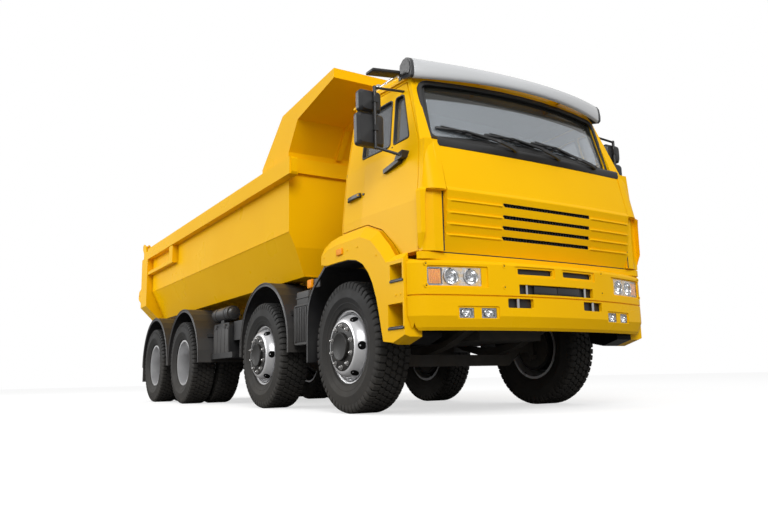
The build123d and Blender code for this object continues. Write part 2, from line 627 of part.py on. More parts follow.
def windshield():
    """Bowed glass that fills the windshield opening."""
    sheet = glazed_block(GLASS_INSET) - glazed_block(GLASS_INSET + GLASS_THICK)
    return sheet & through_front(windshield_face(0), (CAB_WALL + 600, FRONT_REACH))


def windshield_seal():
    """Rubber seal round the windshield, between the glass and the edge of the opening."""
    ring = through_front(windshield_face(0), (CAB_WALL + 600, FRONT_REACH))
    ring = ring - through_front(windshield_face(-30), (CAB_WALL + 600, FRONT_REACH))
    return ring & (glazed_block(GLASS_INSET - SEAL_PROUD) - glazed_block(GLASS_INSET))


def rear_window():
    """Glass in the cab's rear wall."""
    return through_front(rear_window_face(), (CAB_REAR + GLASS_INSET, CAB_REAR + GLASS_INSET + GLASS_THICK))


def cowl():
    """Black panel between the windshield and the front panel."""
    outline = [(990, PANEL_TOP_Z + 3), (1128, PANEL_TOP_Z + 3), (1152, 1992), (1155, 2020), (1146, 2034), (990, 2034)]
    strip = bowed(outline, COWL_BOW_R, 1155, 15) & span_box((900, 1300), (-WINDSHIELD_HALF, WINDSHIELD_HALF), (1900, 2100))
    return strip - cab_body(0) - both_sides(plan_prism(corner_post(76), (1900, CAB_BELT_Z + 4)))


def door():
    """Right door, as thick as the cab wall, with its two window openings and handle recess."""
    leaf = side_wall(CAB_WALL) & side_prism(door_outline(0, DOOR_RELIEF), (-FRONT_REACH, 0))
    for window in door_windows(0):
        leaf = leaf - through_side(window, (-FRONT_REACH, 0))
    pocket = through_side(rounded([(120, 1695), (330, 1700), (330, 1765), (120, 1760)], 25), (-CAB_HALF_WIDTH, 14 - CAB_HALF_WIDTH))
    pull = rod_between(9, (140, -CAB_HALF_WIDTH - 2, 1728), (318, -CAB_HALF_WIDTH - 2, 1736))
    posts = [rod_between(8, (x, -CAB_HALF_WIDTH - 2, z), (x, 30 - CAB_HALF_WIDTH, z)) for x, z in ((150, 1728), (308, 1736))]
    leaf = (leaf - pocket) + (pull + posts[0] + posts[1])
    axis_y = -side_half(DOOR_AXIS_X, CAB_CREASE_Z)
    for level in DOOR_HINGE_LEVELS:
        height = (level - DOOR_HINGE_HALF, level + DOOR_HINGE_HALF)
        knuckle = z_rod(DOOR_KNUCKLE_R, DOOR_AXIS_X, axis_y, height)
        strap = span_box((DOOR_FRONT - 6, DOOR_AXIS_X), (axis_y, axis_y + 9), height)
        leaf = leaf + (knuckle + strap - z_rod(DOOR_PIN_R + 0.5, DOOR_AXIS_X, axis_y, height))
    return leaf


def door_glass():
    """Glass that fills the door's window openings."""
    sheet = side_wall(GLASS_INSET + GLASS_THICK) - side_wall(GLASS_INSET)
    main, vent = door_windows(0)
    return (sheet & through_side(main, (-FRONT_REACH, 0))) + (sheet & through_side(vent, (-FRONT_REACH, 0)))


def mirrors():
    """Right mirror tube with two mirror heads, held to the door above and below."""
    tube_x, tube_y = 800, -1330
    tube = z_rod(13, tube_x, tube_y, (1965, 2455))
    lower_arm = rod_between(11, (tube_x, tube_y, 1975), (882, -1165, 1916))
    foot = through_side(rounded([(800, 1885), (905, 1893), (930, 1950), (840, 1935)], 8), (-1175, -1080))
    strip = through_side(rounded([(636, 1832), (850, 1872), (850, 1902), (636, 1866)], 6), (-1170, -1080))
    upper_arm = rod_between(10, (tube_x, tube_y, 2445), (752, -1020, 2492))
    knees = Pos(tube_x, tube_y, 2450) * Sphere(13) + Pos(tube_x, tube_y, 1970) * Sphere(13)
    heads = mirror_head((tube_x - 82, tube_x - 18), (tube_y - 118, tube_y + 78), (2262, 2432))
    heads = heads + mirror_head((tube_x - 82, tube_x - 18), (tube_y - 138, tube_y + 98), (1990, 2250))
    for clamp_z in (2125, 2348):
        heads = heads + span_box((tube_x - 25, tube_x + 17), (tube_y - 19, tube_y + 19), (clamp_z - 22, clamp_z + 22))
    return (tube + lower_arm + foot + strip + upper_arm + knees + heads) - cab_tube(0)


def mirror_head(x, y, z):
    """Mirror casing with rounded corners and a bevelled back toward the front of the truck."""
    def outline(trim):
        return rounded([(y[0] + trim, z[0] + trim), (y[1] - trim, z[0] + trim), (y[1] - trim, z[1] - trim),
                        (y[0] + trim, z[1] - trim)], 30 - trim / 2)
    case = through_front(outline(0), (x[0], x[1] - 24))
    cap = loft([Pos(x[1] - 24, 0, 0) * (Plane.YZ * outline(0)), Pos(x[1], 0, 0) * (Plane.YZ * outline(22))], ruled=True)
    return case + cap


def front_panel():
    """Bowed panel below the windshield: ridge, four stepped louvres, air slots and a lower strip."""
    back = CAB_FRONT
    louvres = ((1287, 1180), (1365, 1194), (1446, 1206), (1535, 1214))
    outline = [(back, 1108), (1122, 1108), (1126, 1134), (back + 10, 1138), (back + 10, 1148), (1132, 1148)]
    for z, x in louvres:
        outline = outline + [(x, z - 10), (x, z), (x - 11, z + 4)]
    outline = outline + [(1218, RIDGE_Z), (1216, RIDGE_Z + 8), (1203, RIDGE_Z + 30), (1130, PANEL_TOP_Z), (back, PANEL_TOP_Z)]
    panel = bowed(outline, PANEL_BOW_R, 1218, 5)
    panel = panel & span_box((back, 1300), (3 - POST_Y, POST_Y - 3), (1100, 2000))
    for z, x in louvres:
        panel = panel - through_front(rounded([(-460, z - 12), (460, z - 12), (460, z + 18), (-460, z + 18)], 8),
                                      (x - 38, FRONT_REACH))
    return panel


def bumper_plan(inset):
    """Plan face of the bumper, drawn in by inset: long bow, rounded corners, straight back."""
    nose = FRONT_REACH - inset
    turn_y = BUMPER_TURN_Y - inset * 0.4
    turn = (nose - turn_y ** 2 / (2 * BUMPER_BOW_R), turn_y)
    side = (BUMPER_BACK_X, BUMPER_HALF_WIDTH - inset)
    bend = (BUMPER_BACK_X + 62 - inset * 0.6, BUMPER_HALF_WIDTH - 52 - inset * 0.8)
    edges = Curve() + [
        ThreePointArc((turn[0], -turn[1]), (nose, 0), turn),
        ThreePointArc(turn, bend, side),
        Line(side, (side[0], -side[1])),
        ThreePointArc((side[0], -side[1]), (bend[0], -bend[1]), (turn[0], -turn[1])),
    ]
    return make_face(edges)


def bumper_layer(inset, z):
    """Upright block of the bumper's plan between two heights."""
    return Pos(0, 0, z[0]) * extrude(bumper_plan(inset), amount=z[1] - z[0])


def bumper_sunk(depth, y, z):
    """Shallow rounded recess of the bumper's face on the right, to the given depth."""
    skin = bumper_layer(-30, z) - bumper_layer(depth, z)
    frame = through_front(rounded([(-y[1], z[0]), (-y[0], z[0]), (-y[0], z[1]), (-y[1], z[1])], 12), (900, 1400))
    return skin & frame


def front_opening(y, z, radius=10.0):
    """Rounded opening on the right, right through the bumper."""
    return through_front(rounded([(-y[1], z[0]), (-y[0], z[0]), (-y[0], z[1]), (-y[1], z[1])], radius), (900, 1400))


def bumper():
    """Bumper of two decks with rounded corners, lamp recesses, air slots and tow openings."""
    levels = ((BUMPER_BOTTOM, 46), (BUMPER_BOTTOM + 22, 30), (700, 0), (BUMPER_TOP - 26, 0), (BUMPER_TOP - 8, 8),
              (BUMPER_TOP, 22))
    outer = loft([Pos(0, 0, z) * bumper_plan(inset) for z, inset in levels], ruled=True)
    inner = bumper_layer(BUMPER_WALL + 30, (BUMPER_BOTTOM - 10, 720)) + bumper_layer(BUMPER_WALL, (720, BUMPER_TOP - 28))
    inner = inner + span_box((900, BUMPER_BACK_X + 25), (-1190, 1190), (BUMPER_BOTTOM - 10, BUMPER_TOP - 28))
    body = outer - inner
    seam = bumper_layer(-30, (BUMPER_SEAM_Z - 5, BUMPER_SEAM_Z + 5)) - bumper_layer(12, (800, 900))
    cuts = [
        bumper_sunk(10, (655, 1118), (904, 1056)), front_opening(*HEADLAMP),
        bumper_sunk(8, (38, 424), (994, 1070)), front_opening((56, 392), (1012, 1055)),
        front_opening((266, 495), (762, 831)), bumper_sunk(8, (572, 902), (672, 770)),
    ]
    cuts = cuts + [front_opening(*fog, 6) for fog in FOG_LAMPS]
    body = body - seam - span_box((900, 1400), (-390, 390), (865, 937))
    for cut in cuts:
        body = body - cut - other_side(cut)
    return body


def lamps():
    """Clear lenses of the headlamps and fog lamps, set in the bumper's openings."""
    sheet = bumper_layer(12, (650, 1060)) - bumper_layer(17, (640, 1070))
    right = sheet & front_opening(*HEADLAMP)
    for fog in FOG_LAMPS:
        right = right + (sheet & front_opening(*fog, 6))
    return both_sides(right)


def lamp_housings():
    """Reflector housings behind the lenses, with round bowls and a turn-signal compartment."""
    block = bumper_layer(17, (650, 1060)) - bumper_layer(LAMP_BACK, (640, 1070))
    head = block & front_opening(*HEADLAMP)
    for bowl_y, bowl_r in HEADLAMP_BOWLS:
        nose = FRONT_REACH - bowl_y ** 2 / (2 * BUMPER_BOW_R)
        head = head - x_rod(bowl_r, (nose - 62, nose + 40), bowl_y, LAMP_BOWL_Z)
    head = head - span_box((1040, 1300), (-1100, -1000), (926, 1036))
    for fog in FOG_LAMPS:
        head = head + (block & front_opening(*fog, 6)) - (
            bumper_layer(0, (696, 748)) - bumper_layer(50, (690, 755)) & front_opening((fog[0][0] + 8, fog[0][1] - 8), (696, 748)))
    return both_sides(head)


def bumper_brackets():
    """Plates that carry the bumper from the rails, with the upright tow pins."""
    inner_y = RAIL_OUTER_Y - RAIL_FLANGE
    reach = bumper_layer(BUMPER_WALL + 30, (640, 1000))
    plate = span_box((FRAME_FRONT, FRONT_REACH), (-inner_y - 40, -inner_y), (RAIL_BOTTOM, RAIL_BOTTOM + 240))
    shelf = [span_box((FRAME_FRONT + 120, FRONT_REACH), (-510, -250), (z, z + 14)) for z in (742, 836)]
    plates = (plate + shelf) & (reach + span_box((FRAME_FRONT, BUMPER_BACK_X), (-600, 0), (640, 1000)))
    pin = z_rod(15, FRONT_REACH - 80, -380, (742, 850))
    upper = span_box((BUMPER_BACK_X - 20, FRONT_REACH), (-inner_y - 40, -inner_y), (RAIL_BOTTOM + 240, 1000)) & bumper_layer(
        BUMPER_WALL, (720, 1060))
    return both_sides(plates + pin + upper)


def wheel_arch(x_shift=0.0):
    """Lower edge of the fender and pod round the front wheel, from rear to front."""
    points = [(-160, 1224), (20, 1226), (200, 1222), (330, 1200), (430, 1155), (515, 1075), (575, 985), (625, 870),
              (662, 740), (690, 620), (712, 540)]
    return [(x + x_shift, z) for x, z in points]


def fenders():
    """Front fenders with a bevelled flare round the arch, and step pods ahead of the wheels."""
    tail = [(-280, 1240), (-280, 1392), (-160, 1434), (-10, 1452), (432, 1452), (622, 1384), (772, 1246), (846, 1158)]
    flank = [(-262, 1244), (-262, 1318), (-150, 1356), (0, 1372), (398, 1372), (560, 1316), (700, 1196), (776, 1112)]
    pod_front = [(1004, 1158), (1004, 560), (846, 512)]
    pod_front_outer = [(1004, 1112), (1004, 574), (850, 526)]
    inner_face = Pos(0, -FENDER_INNER, 0) * (Plane.XZ * polygon(tail + pod_front + wheel_arch()[::-1]))
    outer_face = Pos(0, -FENDER_OUTER, 0) * (Plane.XZ * polygon(flank + pod_front_outer + wheel_arch(6)[::-1]))
    skin = loft([inner_face, outer_face], ruled=True)
    roof_line = [(540, 1110), (440, 1185), (335, 1232), (200, 1256), (-280, 1270), (-280, 1240)]
    pod = side_prism(wheel_arch() + [(846, 512), (1004, 560), (1004, 1110)] + roof_line, (-FENDER_INNER, -930))
    roof = side_prism(wheel_arch()[:7] + roof_line, (-930, -720))
    body = skin + pod + roof
    for x, z in POD_STEPS:
        body = body - span_box(x, (-FENDER_OUTER - 10, -1010), z)
    tie = span_box((880, 960), (-940, -RAIL_OUTER_Y), (780, 850))
    rear_tie = span_box((-150, -90), (-740, -RAIL_OUTER_Y), (940, 985))
    upright = span_box((-150, -90), (-745, -700), (940, 1262))
    return both_sides(body + tie + rear_tie + (upright - roof))


def corner_deflectors():
    """Deflectors that wrap the lower cab corners, with a ridge on top and a chamfered foot."""
    def wrap(grow):
        outer = [(1078, -1172 - grow), (1118, -1163 - grow), (1160 + grow, -1128 - grow), (1196 + grow, -1062),
                 (1204 + grow, -984)]
        inner = [(1182, -984), (1172, -1050), (1140, -1106), (1108, -1140), (1078, -1151)]
        return outer + inner
    band = plan_loft([(1284, wrap(0)), (RIDGE_Z - 6, wrap(2)), (RIDGE_Z + 10, wrap(-8))])
    foot = [(1074, -1156), (1100, -1140), (1124, -1104), (1138, -1060), (1140, -984)]
    foot_inner = [(1128, -984), (1126, -1050), (1112, -1092), (1092, -1124), (1074, -1142)]
    chamfer = plan_loft([(1176, foot + foot_inner), (1284, wrap(0))])
    stay = [span_box((1130, 1190), (-1050, -990), (z, z + 24)) for z in (1330, 1520)]
    stay = (stay[0] + stay[1]) - plan_prism([(1300, -984), *wrap(30)[:5], (1300, -1300)], (1300, 1600))
    return both_sides((band + chamfer + stay) - cab_tube(0) - post_block())


def post_block():
    """Room taken by the right corner post and the cab front, for pieces that must stop there."""
    low = plan_prism([(CAB_FRONT - 70, -POST_Y), (1136, -POST_Y), (1130, -1060), (1100, -1120), (1058, -1149),
                      (CAB_FRONT - 70, -1149)], (CAB_FLOOR_Z, RIDGE_Z))
    return low + plan_loft([(RIDGE_Z, corner_post(0)), (CAB_BELT_Z + 4, corner_post(76))])


def visor_line(drop):
    """Side-view outline of the visor's curved blade, its inner line drop below the outer one."""
    outer = [(1084, 2556), (1103, 2566), (1106, 2604), (1088, 2652), (1050, 2694), (990, 2726)]
    inner = [(x - drop, z - drop * 0.6) for x, z in reversed(outer[2:])]
    return outer + inner + [(1084, 2570)]


def sun_visor():
    """Long bowed visor over the windshield, on two brackets from the cab roof."""
    blade = bowed(visor_line(12), VISOR_BOW_R, 1106) & span_box((700, 1300), (-VISOR_HALF, VISOR_HALF), (2500, 2900))
    bracket = side_prism([(900, 2600), (960, 2592), (1060, 2600), (1092, 2610), (1040, 2676), (930, 2720), (890, 2700)],
                         (-450, -424))
    bracket = bracket & bowed([(500, 2500), (1094, 2500), (1094, 2604), (1076, 2645), (1040, 2684), (985, 2714),
                               (500, 2714)], VISOR_BOW_R, 1106)
    return blade + both_sides(bracket) + visor_ends() - cab_body(0)


def visor_ends():
    """Dark end pieces that close the visor against the cab roof."""
    outline = [(1066, 2560), (1103, 2566), (1106, 2604), (1088, 2652), (1050, 2694), (990, 2726), (905, 2700), (905, 2570)]
    right = bowed(outline, VISOR_BOW_R, 1106) & span_box((700, 1300), (-VISOR_HALF - 24, -VISOR_HALF), (2500, 2900))
    tie = span_box((745, 860), (-VISOR_HALF - 8, -900), (2630, 2668))
    return both_sides(right + tie)


def seats():
    """Driver's and passenger's seats."""
    cushion = through_side(rounded([(190, 1560), (640, 1560), (650, 1672), (190, 1690)], 28), (-850, -380))
    back = through_side(rounded([(112, 1695), (232, 1695), (178, 2250), (78, 2250)], 30), (-840, -390))
    hinge = side_prism([(150, 1660), (230, 1660), (210, 1720), (150, 1720)], (-800, -430))
    base = span_box((260, 560), (-740, -490), (ARCH_FLOOR_Z + CAB_WALL, 1560))
    return both_sides(cushion + back + hinge + base)


def dashboard():
    """Dashboard with steering column and steering wheel on the left."""
    half = side_half(CAB_FRONT, CAB_BELT_Z) - CAB_WALL
    desk = side_prism([(820, 1560), (CAB_FRONT - 70, 1560), (CAB_FRONT - 70, 1962), (900, 1970), (800, 1890)], (6 - half, half - 6))
    wheel_place = Pos(700, 620, 1960) * Rot(0, -55, 0)
    column = wheel_place * Pos(0, 0, -90) * Cylinder(28, 180)
    wheel = wheel_place * Torus(215, 16)
    spoke = wheel_place * Box(60, 420, 14)
    return desk + column + wheel + spoke


def wipers():
    """Three parked wipers: pivots on the cowl, cranked arms and long blades on the glass."""
    frame = cab_body(0) - through_front(windshield_face(0), (CAB_WALL + 600, FRONT_REACH))
    parts = None
    for pivot_y, root_y, tip_y in WIPERS:
        pivot_x = 1155 - pivot_y ** 2 / (2 * COWL_BOW_R)
        middle_y = (root_y + tip_y) / 2
        root_x, tip_x = (WINDSHIELD_FOOT_X - 45 - y ** 2 / (2 * WINDSHIELD_BOW_R) for y in (root_y, tip_y))
        elbow = (WINDSHIELD_FOOT_X + 4 - root_y ** 2 / (2 * WINDSHIELD_BOW_R), root_y + 30, 2058)
        blade = rod_between(6, (root_x, root_y, 2092), (tip_x, tip_y, 2096))
        arm = rod_between(6, (pivot_x + 4, pivot_y, 2008), elbow)
        arm = arm + rod_between(6, elbow, ((root_x + tip_x) / 2 + 9, middle_y + 60, 2096))
        hub = x_rod(16, (pivot_x - 14, pivot_x + 12), pivot_y, 2005)
        wiper = blade + arm + Pos(*elbow) * Sphere(6.5) + hub
        parts = wiper if parts is None else parts + wiper
    return parts - cowl() - frame - glazed_block(GLASS_INSET)


def guard(axle_x, radius, centre_z, foot_z, y):
    """Arched mudguard skin over one wheel, with a turned-down outer edge."""
    def arch(size):
        return [(axle_x + size * math.cos(math.radians(turn)), centre_z + size * math.sin(math.radians(turn)))
                for turn in range(0, 181, 12)]
    outer = [(axle_x + radius, foot_z), *arch(radius), (axle_x - radius, foot_z)]
    inner = [(axle_x - radius + GUARD_SKIN, foot_z), *reversed(arch(radius - GUARD_SKIN)),
             (axle_x + radius - GUARD_SKIN, foot_z)]
    return side_prism(outer + inner, y)


def mudguards():
    """Mudguards of the second, third and fourth axles, and flaps, on stays from the frame."""
    second = guard(AXLE_2, 648, 638, 540, (-1150, -760))
    third = guard(AXLE_3, 712, 533, 520, (-1232, -600))
    fourth = guard(AXLE_4, 712, 533, 520, (-1232, -600))
    stays = [
        span_box((x - half, x + half), (-1100, -RAIL_OUTER_Y), (z, z + 44))
        for x, half, z in ((AXLE_2 + 590, 22, 900), (AXLE_2 - 590, 22, 900), (AXLE_3 + 645, 22, 840),
                           ((AXLE_3 + AXLE_4) / 2, 140, 910))
    ]
    stays = stays + [span_box((AXLE_4 - 518, AXLE_4 - 482), (-1100, -RAIL_OUTER_Y), (RAIL_TOP - 40, RAIL_TOP + 30))]
    flap = span_box((AXLE_4 - 712, AXLE_4 - 704), (-1230, -600), (300, 524))
    front_flap = span_box((-670, -662), (-1150, -860), (440, 985))
    right = second + third + fourth + stays + flap + front_flap
    return both_sides(right)


def side_equipment():
    """Tanks and boxes that hang on the frame between the wheels."""
    box_1 = through_side(rounded([(-1130, 600), (-670, 600), (-670, 985), (-1130, 985)], 40), (-1100, -RAIL_OUTER_Y))
    side_box = through_side(rounded([(-3620, 560), (-3070, 560), (-3070, 980), (-3620, 980)], 35), (-1060, -RAIL_OUTER_Y))
    rail = span_box((-3640, -2885), (-1085, -1045), (555, 620))
    small_box = span_box((-3040, -2718), (-1010, -RAIL_OUTER_Y), (760, 985))
    right = box_1 + side_box + rail + small_box
    air_tank = x_rod(84, (-3640, -3090), -1000, 1098)
    cradle = span_box((-3420, -3310), (-1040, -RAIL_OUTER_Y), (975, 1030))
    return both_sides(right) + air_tank + cradle


def rear_bumper():
    """Rear underrun bar on two drops from the frame, with lamp boxes."""
    bar_x = FRAME_REAR - 310
    drop = side_prism([(FRAME_REAR, RAIL_BOTTOM), (FRAME_REAR + 160, RAIL_BOTTOM), (bar_x + 100, 510),
                       (bar_x + 100, 610)], (-RAIL_OUTER_Y, -RAIL_OUTER_Y + 60))
    bar = span_box((bar_x, bar_x + 100), (-1150, 1150), (500, 620))
    lamp_box = span_box((bar_x + 10, bar_x + 90), (-1130, -760), (620, 740))
    return both_sides(drop + lamp_box) + bar


def roof_fittings():
    """Air horns on the roof, each with a flared bell on a pedestal."""
    flare = [(0, 0), (0, 20), (220, 24), (330, 36), (380, 62), (392, 62), (392, 0)]
    bell = revolve(make_face(Polyline(*flare, close=True)), axis=Axis.X)
    foot = span_box((60, 100), (-16, 16), (-84, -14))
    return both_sides(Pos(300, -760, CAB_ROOF_Z + 52) * (bell + foot)) - cab_body(0)


# ---------------------------------------------------------------- bed
def bed_section(inset):
    """Half outline of the bed in front view, from the chine down to the floor, on the right."""
    return [
        (-BED_HALF_WIDTH + inset, BED_TOP_Z), (-BED_HALF_WIDTH + inset, BED_CHINE_Z + inset * 0.25),
        (-BED_FLOOR_HALF + inset * 0.9, BED_FLOOR_Z + inset),
    ]


def slope_half(z, inset):
    """Half width of the sloped lower side at height z, drawn in by inset."""
    _, (chine_y, chine_z), (floor_y, floor_z) = bed_section(inset)
    return -(floor_y + (chine_y - floor_y) * (z - floor_z) / (chine_z - floor_z))


def bed_floor():
    """Flat floor with the sloped lower sides, on two long beams with tilt brackets."""
    outer = bed_section(0)
    inner = bed_section(BED_PLATE)
    section = [outer[1], outer[2], (-outer[2][0], outer[2][1]), (-outer[1][0], outer[1][1]),
               (-inner[1][0], inner[1][1]), (-inner[2][0], inner[2][1]), inner[2], inner[1]]
    trough = front_prism(section, (BED_REAR, BED_FRONT))
    front_cut = side_prism([(BED_FRONT_FOOT, BED_FLOOR_Z - 5), (BED_FRONT + 5, BED_FLOOR_Z - 5),
                            (BED_FRONT + 5, BED_CHINE_Z + 20), (BED_FRONT, BED_CHINE_Z + 20),
                            (BED_FRONT, BED_FRONT_BEND_Z)], (-1300, 1300))
    trough = trough - front_cut
    inner_y = RAIL_OUTER_Y - RAIL_FLANGE + 20
    beam = span_box((TILT_X - 100, BED_FRONT_FOOT - 60), (-RAIL_OUTER_Y, -inner_y), (BED_BEAM_BOTTOM, BED_FLOOR_Z))
    bracket = side_prism(
        [(TILT_X - 95, BED_FLOOR_Z), (TILT_X - 45, TILT_Z - 30), (TILT_X, TILT_Z - 60), (TILT_X + 45, TILT_Z - 30),
         (TILT_X + 160, BED_FLOOR_Z)], (-RAIL_OUTER_Y - 65, -RAIL_OUTER_Y - 20))
    bore = y_rod(TILT_PIN_R + PIN_CLEARANCE, TILT_X, (-RAIL_OUTER_Y - 100, -RAIL_OUTER_Y), TILT_Z)
    tie = span_box((TILT_X - 60, TILT_X + 130), (-RAIL_OUTER_Y - 30, -RAIL_OUTER_Y), (BED_FLOOR_Z - 60, BED_FLOOR_Z))
    right = beam + (bracket - bore) + tie
    return trough + both_sides(right)


def bed_sides():
    """Upper side plates with box rails and rear stiffeners."""
    plate = span_box((BED_REAR + POST_LENGTH, BED_FRONT), (-BED_HALF_WIDTH, -BED_HALF_WIDTH + BED_PLATE),
                     (BED_CHINE_Z + 3, BED_TOP_Z))
    rail = span_box((BED_REAR + POST_LENGTH, TOP_RAIL_FRONT), (-TOP_RAIL_OUTER, -BED_HALF_WIDTH),
                    (BED_TOP_Z - TOP_RAIL_HEIGHT, BED_TOP_Z))
    brace_y = (BRACE_INSET - TOP_RAIL_OUTER, -BED_HALF_WIDTH)
    brace_x = BED_REAR + POST_LENGTH + BRACE_LENGTH
    lower_bar = span_box((BED_REAR + POST_LENGTH, brace_x), brace_y, (BRACE_Z, BRACE_Z + BRACE_HEIGHT))
    upright = span_box((brace_x, brace_x + BRACE_WIDTH), brace_y, (BRACE_Z, BED_TOP_Z - TOP_RAIL_HEIGHT))
    lip = side_prism([(TOP_RAIL_FRONT, BED_TOP_Z - TOP_RAIL_HEIGHT), (TOP_RAIL_FRONT + 14, BED_TOP_Z - TOP_RAIL_HEIGHT + 20),
                      (TOP_RAIL_FRONT + 14, BED_TOP_Z - 20), (TOP_RAIL_FRONT, BED_TOP_Z)],
                     (-TOP_RAIL_OUTER + 14, -BED_HALF_WIDTH - 14))
    return both_sides(plate + rail + lower_bar + upright + lip)


def bed_front():
    """Front wall with its foot bent back, cross band, canopy and hoist bracket."""
    wall_half = BED_HALF_WIDTH - BED_PLATE
    chine_z = bed_section(BED_PLATE)[1][1]
    bend_half = slope_half(BED_FRONT_BEND_Z, BED_PLATE)
    foot_half = slope_half(BED_FLOOR_Z + BED_PLATE, BED_PLATE)
    upper = front_prism(
        [(-wall_half, chine_z), (-wall_half, BED_TOP_Z), (wall_half, BED_TOP_Z), (wall_half, chine_z),
         (bend_half, BED_FRONT_BEND_Z), (-bend_half, BED_FRONT_BEND_Z)],
        (BED_FRONT - BED_PLATE, BED_FRONT))
    foot = side_prism(
        [(BED_FRONT, BED_FRONT_BEND_Z), (BED_FRONT - BED_PLATE, BED_FRONT_BEND_Z),
         (BED_FRONT_FOOT - BED_PLATE, BED_FLOOR_Z + BED_PLATE), (BED_FRONT_FOOT, BED_FLOOR_Z + BED_PLATE)],
        (-wall_half, wall_half))
    taper = [(-bend_half, BED_FRONT_BEND_Z), (bend_half, BED_FRONT_BEND_Z),
             (foot_half, BED_FLOOR_Z + BED_PLATE), (-foot_half, BED_FLOOR_Z + BED_PLATE)]
    foot = foot & front_prism(taper, (BED_REAR, 0))
    band = span_box((BED_FRONT, BED_FRONT + 40), (-wall_half, wall_half), (2310, 2460))
    skin = [
        (BED_FRONT, BED_TOP_Z), (BED_FRONT + 20, 2520), (-900, 2790), (CANOPY_FRONT, 2930),
        (CANOPY_FRONT, 2930 + CANOPY_PLATE), (-905, 2802), (BED_FRONT + 8, 2535),
        (BED_FRONT - CANOPY_PLATE, 2520), (BED_FRONT - CANOPY_PLATE, BED_TOP_Z),
    ]
    roof = side_prism(skin, (-BED_HALF_WIDTH, BED_HALF_WIDTH))
    cheek = side_prism(
        [(-1790, BED_TOP_Z), (-1790, 2510), (-1260, 2940), (CANOPY_FRONT, 3020), (CANOPY_FRONT, 2930),
         (-900, 2790), (BED_FRONT + 20, 2520), (BED_FRONT, BED_TOP_Z)],
        (-BED_HALF_WIDTH - CANOPY_PLATE, -BED_HALF_WIDTH))
    lip = span_box((CANOPY_FRONT - CANOPY_PLATE, CANOPY_FRONT), (-BED_HALF_WIDTH, BED_HALF_WIDTH), (2930, 3020))
    ribs = [side_prism([(BED_FRONT + 20, 2520), (-900, 2790), (CANOPY_FRONT - 60, 2919), (CANOPY_FRONT - 60, 2895),
                        (-880, 2752), (BED_FRONT + 52, 2500)], (y - 30, y + 30)) for y in (-620, 0, 620)]
    ear = side_prism([(BED_FRONT, 2200), (HOIST_EYE_X - 30, 2230), (HOIST_EYE_X + 20, 2260), (HOIST_EYE_X + 20, 2320),
                      (BED_FRONT, 2360)], (-145, -115))
    return upper + foot + band + roof + both_sides(cheek) + lip + both_sides(ear) + ribs


def bed_rear_frame():
    """Rear ring of the bed with the tailgate's hinge ears."""
    outer_low = -BED_FLOOR_HALF - 35
    ring = [
        (-TOP_RAIL_OUTER, BED_TOP_Z - 40), (-TOP_RAIL_OUTER, POST_KNEE_Z), (outer_low, BED_FLOOR_Z - 45),
        (-outer_low, BED_FLOOR_Z - 45), (TOP_RAIL_OUTER, POST_KNEE_Z), (TOP_RAIL_OUTER, BED_TOP_Z - 40),
        (BED_HALF_WIDTH, BED_TOP_Z - 40), (BED_HALF_WIDTH, BED_CHINE_Z), (BED_FLOOR_HALF, BED_FLOOR_Z),
        (-BED_FLOOR_HALF, BED_FLOOR_Z), (-BED_HALF_WIDTH, BED_CHINE_Z), (-BED_HALF_WIDTH, BED_TOP_Z - 40),
    ]
    frame = front_prism(ring, (BED_REAR, BED_REAR + POST_LENGTH))
    plate = span_box((BED_REAR, BED_REAR + POST_LENGTH), (-BED_HALF_WIDTH, -BED_HALF_WIDTH + BED_PLATE),
                     (BED_CHINE_Z + 3, BED_TOP_Z - 40))
    ear = side_prism(
        [(BED_REAR + 150, BED_TOP_Z - 40), (BED_REAR + 90, GATE_HINGE_Z), (GATE_HINGE_X + 30, GATE_HINGE_Z + 50),
         (GATE_HINGE_X - 30, GATE_HINGE_Z + 40), (GATE_HINGE_X - 40, GATE_HINGE_Z - 30), (BED_REAR, BED_TOP_Z - 40)],
        (-TOP_RAIL_OUTER, -TOP_RAIL_OUTER + 20))
    inner_ear = Pos(0, 70, 0) * ear
    ears = ear + inner_ear
    bore = y_rod(16, GATE_HINGE_X, (-TOP_RAIL_OUTER - 10, -TOP_RAIL_OUTER + 120), GATE_HINGE_Z)
    return frame + both_sides(plate + (ears - bore))


